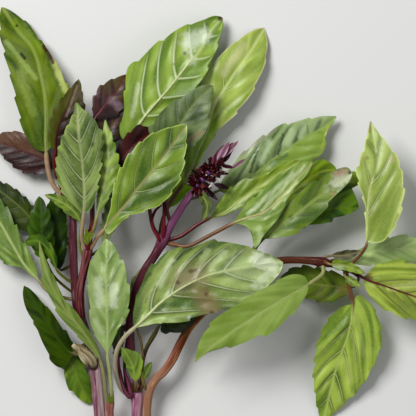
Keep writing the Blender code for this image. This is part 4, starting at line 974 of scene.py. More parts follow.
grow(Leaf(
    "leaf_left_front_narrow", "leaf_fresh", stalk=2, lift=(-0.8, 0.6), stalk_half=0.9,
    rib=[(45, 89, 14), (47.2, 94, 17.5), (48.6, 100, 20), (51, 110, 20.8), (53.3, 120.5, 21.4),
         (54.3, 130.5, 21.6), (53.6, 139, 21.4), (52.6, 148, 21)],
    left=[(48.4, 106), (49, 118), (49.6, 129), (51, 140)],
    right=[(52.2, 104.5), (55.5, 111), (58.5, 119), (60, 126), (58.3, 133), (55.5, 142)],
), Look(
    light=(164, 190, 82), dark=(80, 110, 24), vein=(190, 208, 130), rib=(184, 200, 124),
    stalk=(150, 140, 84), veins=6, rib_half=0.5, slant=1.1,
))
grow(Leaf(
    "leaf_left_small_bright", "leaf_fresh", stalk=3, lift=(0.3, 0.3), wave=0.2, tooth=0.3,
    stalk_half=0.7,
    rib=[(42.6, 77, 16), (40, 84, 16.6), (40, 91, 17.2), (40.6, 96.5, 18), (37.4, 102, 18.6),
         (32.5, 106, 18.8), (27.5, 108.6, 18.6), (22.5, 110.5, 18)],
    left=[(37.8, 98.5), (34, 100.7), (31.5, 103), (28.5, 105.5), (25, 108.4)],
    right=[(40.3, 101.5), (37.5, 105.5), (35, 108), (32.5, 109.6), (29, 110.8), (25.5, 111)],
), Look(
    light=(134, 158, 54), dark=(62, 88, 14), vein=(156, 178, 84), rib=(150, 170, 82),
    stalk=(110, 118, 52), vein_strength=0.3, quilt=0.5,
))
grow(Leaf(
    "leaf_centre_strip", "leaf_dark", stalk=2, wave=0.2, stalk_half=0.7,
    rib=[(42.8, 79, 16), (47.5, 81.5, 14.6), (51.5, 86, 14.4), (54, 97, 14.8), (55.8, 112, 14.6)],
    left=[(50.6, 92), (51.5, 102)],
    right=[(56.5, 91), (58.4, 102)],
), Look(
    light=(150, 164, 96), dark=(64, 80, 30), vein=(150, 160, 100), rib=(140, 150, 90),
    stalk=(90, 90, 40), veins=6,
))

# The purple leaves. Full sun turns leaves at the top of a sprig purple-brown: thin, smooth and
# a little glossy, with painted shade in the furrows and a crimson midrib. They hang behind the
# others, from the left stem and its fork.
grow(Leaf(
    "leaf_left_purple", "leaf_purple", stalk=2, lift=(0.5, 1), stalk_half=1,
    rib=[(32.5, 108.5, 12), (30.5, 116, 9.5), (27, 124, 8), (23, 128, 7.5), (10, 133, 7),
         (0, 136.5, 6.5), (-6, 139, 6)],
    left=[(23, 121.5), (15, 121), (10, 122.5), (5, 126), (-2, 133)],
    right=[(24.5, 131.5), (19, 137), (12.5, 141.5), (5, 142.5), (-2, 141)],
), Look(
    light=(70, 36, 30), dark=(22, 4, 6), vein=(112, 76, 64), rib=(84, 44, 40), stalk=(84, 40, 40),
    right=(104, 78, 62), veins=6, vein_strength=0.25, slant=1.2, quilt=0.9, roughness=0.38,
))
grow(Leaf(
    "leaf_left_purple_upright", "leaf_olive", stalk=3, lift=(0.6, 0.6), stalk_half=1,
    rib=[(32.8, 110, 14.5), (29.5, 117, 16), (27.5, 125.5, 17.5), (28, 133, 18),
         (28.5, 140.5, 18.5), (31.5, 149.5, 19), (35, 156.5, 18.5), (39.5, 168.5, 17)],
    left=[(25.5, 135.5), (24.5, 142), (26.5, 151.5), (31, 158.5), (36.5, 165.5)],
    right=[(33.5, 135), (39, 142), (42.5, 152), (41.5, 160), (40.7, 165.5)],
), Look(
    light=(78, 64, 34), dark=(34, 22, 10), vein=(116, 106, 66), rib=(70, 22, 34),
    stalk=(96, 22, 38), left=(84, 88, 36), right=(52, 26, 20), tip=(78, 74, 34),
    vein_strength=0.25, quilt=0.7, roughness=0.46, shine=0.15,
    # The first streak is a painted highlight along the top of the midrib.
    spots_and_painted_light=[(38.6, 165, 0.9, (134, 120, 94), 0.55, 33.5, 150),
           (40, 167.5, 1.6, (96, 112, 40), 0.6)],
))
grow(Leaf(
    "leaf_purple_glossy", "leaf_purple", stalk=2, lift=(0.8, -0.3), wave=0.2,
    rib=[(46.3, 142, 12), (46.3, 145.5, 13.2), (47.2, 148.5, 13.2), (50.5, 153, 12.8),
         (54.5, 158, 11.8), (58.5, 163, 11), (63, 171, 9.8)],
    left=[(46, 154), (46.8, 160), (50.4, 165.2), (57, 169)],
    right=[(52, 148.6), (58, 150.5), (62, 155), (63.4, 163)],
), Look(
    light=(84, 48, 42), dark=(34, 8, 12), vein=(106, 52, 50), rib=(108, 30, 44),
    stalk=(90, 20, 32), tip=(84, 74, 44), vein_strength=0.25, quilt=0.7, roughness=0.34, shine=0.5,
    coat=0.1,
    # The first spot is a painted glossy highlight.
    spots_and_painted_light=[(56.6, 157.4, 3.4, (142, 122, 130), 0.55, 60, 154), (55, 146, 3, (60, 30, 14), 0.5)],
))
grow(Leaf(
    "leaf_purple_back", "leaf_purple", stalk=2, lift=(0.6, 0.6),
    rib=[(46.3, 128, 12), (48, 131.5, 11.2), (50, 135, 10.6), (54.5, 143, 10), (62, 154, 9.2)],
    left=[(48.2, 139.5), (48.2, 144.5), (46.8, 149.5), (50.4, 154), (57, 156)],
    right=[(55, 135), (60.5, 139.5), (63, 147)],
), Look(
    light=(96, 70, 54), dark=(42, 22, 16), vein=(120, 96, 76), rib=(110, 72, 60),
    stalk=(96, 40, 40), vein_strength=0.3,
))
grow(Leaf(
    "leaf_purple_dark", "leaf_dusk", stalk=2, lift=(0.8, 0.5),
    rib=[(46.3, 113, 12), (52, 117, 14), (57.5, 122.5, 15.8), (62, 129.5, 16.4), (69, 137, 16.6),
         (78, 142.5, 16)],
    left=[(57.6, 129.5), (59.5, 135.5), (64, 141), (69.5, 145.5), (74, 144.5)],
    right=[(62, 125), (67.5, 129), (73.5, 134), (77.5, 139)],
), Look(
    light=(82, 42, 40), dark=(34, 10, 16), vein=(96, 52, 52), rib=(96, 20, 34), stalk=(70, 10, 24),
    veins=4, vein_strength=0.3, quilt=0.5, shine=0.3,
))

# The leaves at the top. These are the broad full-grown ones, soft and thin, on the upper joints
# of the middle stem, and one from the left stem's fork. The largest shows its underside, which
# is pale with thick raised veins.
grow(Leaf(
    "leaf_top_large", "leaf_pale", stalk=6, lift=(1.2, 0.6), stalk_half=1,
    rib=[(81.5, 88, 14), (79, 90.5, 12.4), (76, 96, 11.5), (74, 108, 11), (71, 124, 11),
         (68.5, 136, 11.3), (68.3, 141.5, 11.5), (70, 146.5, 11.8), (75, 153, 12.2),
         (85, 164.5, 12.5), (92.5, 174, 12), (100, 183, 10.5), (106, 193, 8), (111.3, 199.7, 5)],
    left=[(61.5, 138.5), (59.8, 144), (62, 153), (62.3, 162), (62.8, 169), (64.5, 174.8),
          (70, 179), (77.5, 185.5), (86, 191.8), (94, 195.8), (102.5, 198.6), (107.5, 200.2)],
    right=[(73, 141), (82, 147), (92, 156), (100.5, 167.5), (105.8, 178), (109.5, 188),
           (111.3, 195.5)],
), Look(
    light=(164, 190, 80), dark=(96, 130, 28), vein=(206, 220, 172), rib=(196, 208, 140),
    stalk=(104, 66, 50), veins=6, vein_width=1, vein_strength=0.75, rib_half=0.85, slant=0.85,
    curve=0.75, quilt=-1.4, roughness=0.42, teeth=13,
    # The whitish spots are painted glare on the pale underside; the brown spots are real marks.
    spots_and_painted_light=[(95, 187, 6.5, (208, 220, 192), 0.8, 101, 190), (96, 178, 4, (200, 212, 176), 0.6),
           (66, 150, 1.6, (206, 218, 176), 0.6, 69, 166), (104, 184, 3, (160, 190, 86), 0.5),
           (92.3, 181.6, 1.3, (84, 66, 40), 0.8), (87, 176, 1.1, (112, 100, 48), 0.6),
           (110.5, 199.6, 2.4, (72, 46, 26), 0.9), (97, 172.5, 1.4, (110, 140, 50), 0.6)],
))
grow(Leaf(
    "leaf_top_long", "leaf_fresh", stalk=3, lift=(0.8, 0.5), stalk_half=1,
    rib=[(81.5, 90.5, 15), (82, 100, 12), (86, 108, 10.6), (91.5, 116.5, 9.6), (95, 122, 9.2),
         (99, 132.5, 8.8), (103.8, 143, 8.4), (107, 155, 8), (115, 168, 7), (120, 175.5, 5.8),
         (126, 184, 3.6), (130.2, 191, 1.3), (132.5, 194.8, -0.1)],
    left=[(92, 122), (94, 135), (96, 148), (98, 158), (101, 168), (106, 176.5), (113, 183.5),
          (120, 189.5), (127.5, 193.8)],
    right=[(95.5, 118), (98.8, 125), (102, 131), (106.5, 139), (112, 145.5), (118, 151.5),
           (123.8, 158.5), (128.5, 166.5), (132.2, 175.5), (134, 186)],
), Look(
    light=(190, 210, 104), dark=(112, 138, 40), vein=(214, 226, 150), rib=(206, 216, 144),
    stalk=(110, 80, 60), edge=(206, 196, 156), vein_width=0.55, vein_strength=0.5, slant=1.5,
    curve=1.1, quilt=1, teeth=14,
    # The first spot is painted light: a saturated green that lifts the lower blade out of the
    # shade it lies in.
    spots_and_painted_light=[(98, 130, 9, (124, 174, 16), 0.75, 104, 144),
           (122, 186, 3.4, (206, 204, 150), 0.5, 112, 172),
           (100.5, 128, 1.2, (170, 194, 90), 0.7, 113, 152)],
))
grow(Leaf(
    "leaf_top_back", "leaf_dark", stalk=3, lift=(0.3, 0.3),
    rib=[(78.5, 82.5, 13.5), (79.5, 90, 8.4), (81, 98, 6.6), (83.5, 104, 6), (89, 118, 5.6),
         (93, 131, 5.2), (97, 146, 4.6)],
    left=[(83.5, 112), (86.5, 124), (90.5, 136), (94.5, 143)],
    right=[(88.5, 106), (95.5, 114), (98.5, 126), (99.5, 138)],
), Look(
    # These tones are lighter than the leaf's own green: painted light that offsets the shade of
    # the leaves above it.
    light=(176, 224, 30), dark=(104, 150, 6), vein=(120, 156, 40), rib=(120, 140, 48),
    stalk=(70, 26, 30), veins=6, shine=0.3,
))
grow(Leaf(
    "leaf_top_grey", "leaf_sage", stalk=4, lift=(0.6, 1), stalk_half=0.9,
    rib=[(85.5, 95.5, 15.5), (83.5, 103, 17), (82.8, 112, 17.4), (83.3, 122, 17.4),
         (84.5, 132, 17.6), (88, 141.5, 18), (92.5, 149.5, 18), (97.5, 156.5, 17.6),
         (103.5, 162.3, 16.8), (106.7, 165.2, 16)],
    left=[(78, 135.5), (74.8, 143), (77.5, 148.5), (83, 154), (92.5, 160.8), (101.5, 165.2)],
    right=[(90, 131.5), (95.5, 134.5), (100.5, 138.5), (103.3, 143.5), (104.8, 149), (105.8, 156),
           (106.6, 162)],
), Look(
    light=(126, 144, 90), dark=(66, 86, 40), vein=(150, 164, 116), rib=(126, 140, 84),
    stalk=(84, 34, 40), vein_strength=0.35, rib_half=0.35, slant=1, curve=0.9, roughness=0.5,
    teeth=12,
    spots_and_painted_light=[(96, 149, 3.2, (44, 66, 26), 0.75, 100, 152), (85, 146, 5, (70, 98, 34), 0.4),
           (94, 137.5, 1.6, (146, 124, 92), 0.6, 101, 142), (104, 155, 4, (150, 164, 122), 0.4)],
))
grow(Leaf(
    "leaf_centre_upper", "leaf_pale", stalk=3, lift=(1.6, 1.2), stalk_half=1,
    rib=[(44, 83, 17), (46.4, 85, 19.6), (48.5, 89, 21.6), (52.5, 93.5, 22.6), (57.5, 99.5, 23.6),
         (64, 107, 25), (68.5, 113, 25.8), (75, 121, 26.5), (82.5, 130.5, 26), (93.5, 145.5, 23)],
    left=[(53.5, 97), (55.5, 104), (56.5, 112), (59, 120.5), (63, 128), (70, 136.5), (77.5, 141.5),
          (85, 144.2), (90, 145.5)],
    right=[(54.5, 91), (59, 95), (64, 99.5), (72.5, 102.5), (81.5, 106.5), (88, 114.5),
           (91.5, 123), (93, 133), (93.5, 140)],
), Look(
    light=(134, 162, 54), dark=(58, 84, 14), vein=(176, 194, 112), rib=(150, 146, 90),
    stalk=(160, 134, 96), edge=(174, 196, 104), vein_strength=0.5, rib_half=0.5, slant=1,
    curve=0.9, quilt=1.3, furrow_shade=0.4, teeth=7.5,
))

# The leaves round the flower. They grow in pairs from the last joints of the middle stem. The
# one at the back is strongly quilted, and the two in front lie along each other.
grow(Leaf(
    "leaf_flower_back", "leaf_fresh", stalk=3, lift=(0.8, 0.6),
    rib=[(93.5, 108, 17.5), (99, 109.5, 12.5), (104.5, 110.5, 10), (109, 112.5, 8.6),
         (125, 119.5, 8), (137.5, 129, 7.6), (145, 134.5, 7.4), (152.5, 139.3, 7), (160, 143.5, 6),
         (168.5, 150, 4.5)],
    left=[(110.5, 116.5), (113.8, 122), (117.5, 127), (121.5, 131.8), (130, 139), (140, 145.2),
          (152, 148.2), (160, 150)],
    right=[(117, 111), (130, 115.5), (145, 121.5), (157, 127.5), (162, 133), (164, 142.5),
           (167.3, 147.5)],
), Look(
    light=(184, 206, 144), dark=(88, 116, 52), vein=(76, 106, 36), rib=(142, 164, 84),
    stalk=(96, 76, 50), right=(134, 160, 64), veins=6, vein_width=0.7, vein_strength=0.35,
    rib_half=0.5, slant=0.8, curve=1.3, furrow_shade=0.6, mottle=0.5, roughness=0.36, shine=0.5,
    teeth=12,
    # The pale mint streaks are painted highlights on the swellings, and the thin dark green
    # streaks are painted shade in the furrows.
    spots_and_painted_light=[(121, 130.4, 1.5, (150, 146, 126), 0.7, 137.5, 143.4),
           (136, 126, 2, (50, 84, 14), 0.6, 143, 130.4),
           (130.5, 127.5, 2.8, (186, 206, 158), 0.7, 135, 137),
           (144.4, 136.4, 2.6, (184, 204, 156), 0.65, 146.4, 142.6),
           (150.4, 139.5, 2.4, (180, 200, 150), 0.6, 152, 146),
           (139.2, 131, 1, (36, 68, 14), 0.8, 141.8, 141),
           (125.2, 122, 1.1, (36, 68, 14), 0.75, 128.6, 132.4),
           (154.2, 141.2, 0.6, (84, 112, 44), 0.6, 153.8, 145.5),
           (161, 134, 0.8, (190, 198, 84), 0.4, 164.4, 145),
           (143, 147, 2.4, (170, 188, 116), 0.4, 160, 151)],
))
grow(Leaf(
    "leaf_flower_front_upper", "leaf_yellow", stalk=4, lift=(0.6, 0.6), stalk_half=1,
    rib=[(84, 88, 14.5), (90, 89.7, 15), (95, 93, 15.8), (100, 96.5, 16.2), (105.5, 99.2, 16.3),
         (112.5, 101.8, 16.4), (120, 108, 16.6), (131, 116, 16.8), (142.5, 123, 16.4),
         (151, 128, 15.4)],
    left=[(106.5, 102), (109, 106), (112, 110.5), (116, 114.4), (122, 118.4), (128, 119.2),
          (134, 121.6), (141, 125.4), (146, 127.6)],
    right=[(109.5, 99.8), (114.5, 101.4), (120.5, 104.5), (124.5, 107), (130, 110), (136, 113.5),
           (143, 120.5), (148, 125.5)],
), Look(
    light=(158, 184, 66), dark=(78, 104, 16), vein=(184, 202, 110), rib=(176, 190, 106),
    stalk=(96, 26, 34), veins=4, vein_strength=0.4, rib_half=0.5, slant=1.7, curve=1, quilt=0.9,
    teeth=9,
    spots_and_painted_light=[(125.5, 118.5, 1.1, (166, 120, 60), 0.6),
           (118, 106, 2.4, (176, 196, 96), 0.5, 136, 119)],
))
grow(Leaf(
    "leaf_flower_front_lower", "leaf_fresh", stalk=5, lift=(0.6, 0.4), stalk_half=1,
    rib=[(86, 86, 15), (92.5, 84.7, 16.5), (97.5, 86.3, 17.8), (102.5, 89, 19), (110, 93, 21),
         (116.5, 96.4, 22.6), (124, 99.3, 23.6), (132.5, 102, 24.4), (140, 109, 24.8),
         (148.5, 118, 24.4), (156, 126.7, 23.2)],
    left=[(120, 101.6), (124, 107), (131, 113.2), (137.5, 118.4), (145, 124), (151.5, 126.8)],
    right=[(120, 95.9), (123.6, 94.4), (125.9, 90.6), (127.2, 84.4), (130.4, 87.8), (132.6, 91),
           (135.6, 94.8), (138.6, 98.6), (141.6, 104), (144.4, 109.6), (150, 117), (154, 122)],
), Look(
    light=(150, 176, 88), dark=(90, 120, 36), vein=(196, 210, 144), rib=(184, 180, 122),
    stalk=(122, 86, 58), veins=4, vein_width=0.6, rib_half=0.6, slant=2.4, curve=0.8, quilt=0.5,
    furrow_shade=0.15, teeth=18,
    # The pale streaks are painted sheen.
    spots_and_painted_light=[(124, 101, 1.8, (206, 220, 174), 0.5, 146, 121),
           (131, 103, 1.3, (216, 226, 180), 0.45, 152, 125),
           (128, 108, 1.2, (90, 122, 40), 0.6, 143, 121),
           (129, 94, 2.4, (196, 214, 158), 0.45, 131, 86),
           (137, 104, 1.6, (196, 212, 140), 0.6, 148, 117)],
))
grow(Leaf(
    "leaf_under_flower", "leaf_pale", stalk=1, lift=(0.8, 0.8), wave=0.1, tooth=0.2,
    stalk_half=0.6,
    rib=[(94.5, 109.5, 18), (98.5, 110.5, 20.2), (101.5, 109.6, 21), (103.6, 105.4, 21),
         (103, 101.5, 20.6), (101.3, 97.8, 19.8)],
    left=[(102, 112), (105.6, 106.4), (105, 101.5)],
    right=[(100, 108), (101.6, 104.6), (101, 101)],
), Look(
    light=(112, 128, 52), dark=(56, 72, 18), vein=(150, 166, 92), rib=(146, 160, 90),
    stalk=(110, 96, 50), veins=4, quilt=0.2,
))

# The right sprig's leaves. They spread from the joints of the brown stem, some upright and some
# hanging over it, with brown marks where they were bruised, and young ones at the joints.
grow(Leaf(
    "leaf_right_middle", "leaf_fresh", stalk=3, lift=(0.8, 0.9), stalk_half=1,
    rib=[(121, 67.5, 13), (124, 76, 16.6), (127.2, 84, 18.8), (131, 89.5, 20), (142.5, 97, 21.6),
         (155, 106.5, 22.4), (166, 114.7, 22), (176, 121.5, 20)],
    left=[(134.5, 96.5), (141, 104), (150, 112), (160, 119), (168.5, 123.2), (173.5, 124)],
    right=[(134.5, 88.6), (143, 90), (150, 92.8), (156, 97), (162.5, 103.8), (168, 110.6),
           (174, 117)],
), Look(
    light=(124, 148, 50), dark=(68, 94, 20), vein=(150, 172, 92), rib=(146, 162, 90),
    stalk=(110, 104, 56), vein_width=0.45, vein_strength=0.3, rib_half=0.4, slant=1.3, quilt=0.4,
    furrow_shade=0.5, roughness=0.45, teeth=16,
    spots_and_painted_light=[(136, 92, 3, (140, 166, 76), 0.5, 150, 104), (145.2, 99.3, 2, (64, 58, 24), 0.75),
           (168, 117, 5, (202, 208, 172), 0.85, 174, 120), (163, 113.5, 3, (176, 188, 138), 0.5),
           (168, 121, 2.2, (176, 144, 120), 0.75, 172.5, 122.5),
           (166, 111, 1.8, (168, 140, 108), 0.65), (174.5, 121.8, 1.4, (58, 40, 24), 0.85)],
))
grow(Leaf(
    "leaf_right_olive", "leaf_olive", stalk=4, lift=(0.6, 0.4),
    rib=[(128.5, 73.4, 14.2), (127.6, 79, 10.4), (127.8, 85, 9.4), (131.5, 93, 9.8),
         (139, 101, 10.6), (148, 113, 11.2), (159, 121.5, 11.4), (168.5, 123.4, 10.8)],
    left=[(139.5, 109), (147, 120), (157, 127.5), (163, 128), (166.5, 125.8)],
    right=[(144, 102), (152, 108), (160, 114.5), (166, 120)],
), Look(
    light=(146, 172, 36), dark=(66, 92, 6), vein=(150, 174, 64), rib=(146, 162, 64),
    stalk=(90, 92, 36), vein_strength=0.35, rib_half=0.5, slant=1.2, shine=0.35,
))
grow(Leaf(
    "leaf_right_dark", "leaf_dark", stalk=4, lift=(0.3, 0.3), stalk_half=0.9,
    rib=[(123.2, 69.4, 13.4), (126, 76.5, 14.4), (127.8, 84, 15.6), (133, 89.8, 16.4),
         (140.5, 92.6, 16.8), (150, 98, 17), (165, 103.5, 16.8), (179.5, 104, 16)],
    left=[(143, 99), (153, 109), (165, 116), (173.5, 116.8), (177.5, 110)],
    right=[(146, 91.5), (150.5, 94), (157.5, 95.5), (165, 97.5), (174, 101)],
), Look(
    light=(110, 146, 8), dark=(46, 76, 0), vein=(100, 132, 30), rib=(100, 124, 34),
    stalk=(80, 88, 36), veins=6, vein_strength=0.3, rib_half=0.4, shine=0.25, teeth=12,
))
grow(Leaf(
    "leaf_right_pointed", "leaf_olive", stalk=5, wave=0.2,
    rib=[(125.6, 71.2, 13.8), (126.6, 77.6, 12), (127.8, 84.5, 12.2), (133, 91.5, 12.8),
         (143, 98, 13.4), (157, 104, 14), (168, 114.5, 14), (184.5, 119.2, 13)],
    left=[(158, 111), (165, 118), (172, 121.8), (179, 121.8)],
    right=[(162, 104), (170, 109), (178, 115)],
), Look(
    light=(164, 190, 60), dark=(88, 112, 22), vein=(160, 180, 80), rib=(150, 164, 76),
    stalk=(84, 84, 36), veins=6, vein_strength=0.3,
))
grow(Leaf(
    "leaf_right_upright", "leaf_yellow", stalk=4, lift=(0.4, 1.4),
    rib=[(172.5, 74.5, 18.5), (175, 76, 19.8), (178.5, 79, 21), (181.7, 83, 22), (183.3, 87, 22.6),
         (183.4, 93, 23), (183.4, 101, 23.4), (184.5, 113, 23), (187.6, 124, 22), (187.8, 132, 21),
         (186.3, 140, 19.5), (185, 147.5, 17.5)],
    left=[(182.6, 92), (182.3, 99), (181.8, 107), (178.9, 116), (178, 123), (181.2, 132.5),
          (183, 139.5)],
    right=[(190, 87), (194.5, 91), (198.5, 97.5), (200.8, 106), (201.6, 112), (201, 119),
           (199.3, 127), (196.5, 132), (191.5, 138.5), (188.3, 143)],
), Look(
    light=(182, 200, 110), dark=(116, 138, 50), vein=(208, 220, 144), rib=(196, 206, 134),
    stalk=(110, 66, 50), edge=(206, 220, 130), veins=4, vein_width=0.6, vein_strength=0.6,
    rib_half=0.6, slant=1.8, curve=1, furrow_shade=0.45, teeth=8,
    spots_and_painted_light=[(184, 143, 2.4, (128, 112, 64), 0.6, 186, 150), (183, 129, 1.6, (140, 122, 80), 0.6),
           (187, 120, 1.6, (110, 124, 62), 0.6, 188, 130), (196, 128, 2.4, (178, 166, 116), 0.6),
           (203, 118, 1.2, (220, 228, 150), 0.6, 199, 102)],
))
grow(Leaf(
    "leaf_right_edge_grey", "leaf_sage", stalk=2, lift=(0.6, -0.4),
    rib=[(161, 77, 18), (164.5, 77.3, 15.6), (168, 78.3, 14.4), (176, 80.3, 13.6), (188, 82.5, 13),
         (202, 83.5, 11.5), (222.5, 81.5, 7.5)],
    left=[(170, 80.8), (180, 83.6), (187, 87), (194, 89.6), (202.5, 90.3), (210, 88.5),
          (217, 85.5)],
    right=[(172.5, 76.3), (180, 75.4), (190, 75.4), (201, 76.5), (212, 77.5)],
), Look(
    light=(196, 220, 148), dark=(132, 160, 84), vein=(190, 206, 146), rib=(176, 192, 128),
    stalk=(110, 84, 60), vein_strength=0.35, rib_half=0.4, slant=1.3, roughness=0.5, teeth=10,
))
grow(Leaf(
    "leaf_right_edge_striped", "leaf_yellow", stalk=1, lift=(1, 1),
    rib=[(179, 70.5, 19), (181.5, 69.2, 20.2), (185, 67.5, 20.8), (192.5, 65, 21),
         (200, 62.3, 20.4), (208, 59.5, 19), (217, 55.5, 16.5), (225, 52, 14)],
    left=[(184, 71.8), (187, 75), (191.5, 77), (199, 77.8), (208, 75.8), (217, 68.5), (222, 60)],
    right=[(182.3, 64.8), (184.5, 60.5), (188.5, 56), (196, 51.5), (206, 48), (216, 47.6)],
), Look(
    light=(188, 206, 92), dark=(112, 134, 34), vein=(98, 50, 54), rib=(96, 30, 46),
    stalk=(90, 26, 36), veins=6, vein_width=0.7, vein_strength=0.7, rib_half=0.9, slant=1.8,
    curve=0.9, quilt=1, teeth=9,
    spots_and_painted_light=[(194, 64, 2.2, (208, 220, 132), 0.6, 207, 66),
           (181.5, 69.8, 3.2, (92, 36, 52), 0.7, 184, 69.4)],
))
grow(Leaf(
    "leaf_right_hanging", "leaf_fresh", stalk=3, lift=(0.8, 0.8), stalk_half=0.9,
    rib=[(173, 74, 18.5), (174, 67, 17.2), (175.3, 62, 16.4), (176.3, 55.5, 15), (175.8, 47, 13.6),
         (173.4, 38, 11.6), (170.5, 29.5, 9.2), (167.5, 20.5, 6.6), (165, 10.5, 3.7),
         (162.8, 1, 1.2), (161, -4.5, 0.16)],
    left=[(179, 60.5), (185, 56.5), (189, 49.7), (191, 41), (190.4, 34), (187, 24.8),
          (182.5, 16.8), (177, 9.7), (170.5, 3.5), (165.5, -1.5)],
    right=[(172, 55), (166.5, 51), (161.3, 43.5), (158.5, 35), (157.2, 26), (157, 18), (157.8, 10),
           (159.3, 2)],
), Look(
    light=(192, 216, 92), dark=(90, 120, 14), vein=(206, 220, 138), rib=(186, 200, 112),
    stalk=(120, 78, 50), vein_width=0.6, vein_strength=0.65, rib_half=0.6, slant=1.5, curve=1,
    quilt=1.3, furrow_shade=0.5, teeth=7.5,
    spots_and_painted_light=[(178, 40, 3.4, (198, 216, 110), 0.3, 182, 31.7),
           (174, 27.4, 3.2, (204, 220, 120), 0.35, 175, 17)],
))
grow(Leaf(
    "leaf_right_long_low", "leaf_pale", stalk=3, lift=(-0.8, 0.8), stalk_half=1,
    rib=[(161, 77, 18.5), (161.5, 72, 20.6), (158.5, 69, 22), (154, 66, 23.2), (145, 60.5, 26.6),
         (132.5, 53.2, 29.6), (120, 45.2, 29.6), (109, 37.4, 27.6), (97.5, 27, 24)],
    left=[(153.5, 62), (149, 55), (144, 49), (136, 43), (126, 38.6), (112, 34.2), (103.5, 31.8)],
    right=[(152, 70), (146, 71), (139, 68), (131, 63.8), (121.5, 58.2), (110.5, 51), (103.5, 44.7),
           (99.6, 37)],
), Look(
    light=(158, 182, 94), dark=(112, 138, 50), vein=(164, 184, 106), rib=(162, 178, 104),
    stalk=(150, 156, 96), vein_width=0.4, vein_strength=0.25, rib_half=0.4, slant=1.5, curve=0.6,
    quilt=0.35, furrow_shade=0.1, mottle=0.5, roughness=0.55, teeth=18,
))
grow(Leaf(
    "leaf_right_back_dark", "leaf_dark", stalk=3, lift=(0.4, 0.4), stalk_half=0.7,
    rib=[(179, 70.5, 19), (179.2, 68, 14), (178, 65.3, 11), (175, 64.2, 10.2), (165, 65, 9.8),
         (152, 66.5, 9.4), (139, 67, 8.5)],
    left=[(172.5, 59.8), (163.5, 56.7), (153, 59), (145, 62.8)],
    right=[(171, 70.5), (160, 74), (150, 75), (143, 72)],
), Look(
    light=(124, 144, 52), dark=(60, 78, 16), vein=(128, 140, 74), rib=(120, 128, 66),
    stalk=(84, 62, 36), rib_half=0.5, shine=0.2,
    spots_and_painted_light=[(172, 63, 4, (126, 108, 66), 0.6), (152, 64, 4, (92, 80, 40), 0.5),
           (160, 60, 3, (140, 132, 86), 0.4)],
))
grow(Leaf(
    "young_leaf_right_upper", "leaf_yellow", stalk=2, lift=(0.6, 0.6), wave=0.2, tooth=0.3,
    rib=[(161, 77.3, 18.5), (163, 76.8, 21.4), (165.3, 75.8, 22.8), (172.5, 75.2, 24.6),
         (182, 71.6, 25)],
    left=[(167, 78), (173, 77.6), (178.5, 74.8)],
    right=[(167.5, 73.6), (173, 72.8), (178, 71.4)],
), Look(
    light=(160, 186, 70), dark=(78, 102, 20), vein=(150, 166, 88), rib=(150, 162, 86),
    stalk=(110, 76, 48), veins=4, vein_strength=0.3, quilt=0.4,
))
grow(Leaf(
    "young_leaf_right_back", "leaf_pale", stalk=2, lift=(0.6, 0.3), wave=0.1, tooth=0.2,
    stalk_half=0.7,
    rib=[(159, 77.2, 17.6), (162, 79.6, 18), (165, 80, 18.6), (172.5, 80.4, 18.8),
         (180, 82.6, 18.4)],
    left=[(168, 81.8), (174, 83)],
    right=[(170, 78.2), (176, 79)],
), Look(
    light=(110, 108, 76), dark=(60, 56, 40), vein=(130, 130, 92), rib=(140, 134, 96),
    stalk=(120, 96, 66), veins=4, quilt=0.3,
))
grow(Leaf(
    "young_leaf_right_lower", "leaf_yellow", stalk=2, lift=(0.4, 0.4), wave=0.1, tooth=0.2,
    stalk_half=0.7,
    rib=[(172.5, 74, 18.5), (172, 71.6, 20.4), (172.8, 69.6, 21.4), (176, 67.4, 22.4),
         (180.5, 65, 23)],
    left=[(175, 70), (178, 68)],
    right=[(172.6, 67.2), (176, 65)],
), Look(
    light=(138, 162, 54), dark=(70, 92, 16), vein=(160, 180, 86), rib=(160, 176, 86),
    stalk=(120, 96, 52), veins=4, vein_strength=0.3, quilt=0.3,
))

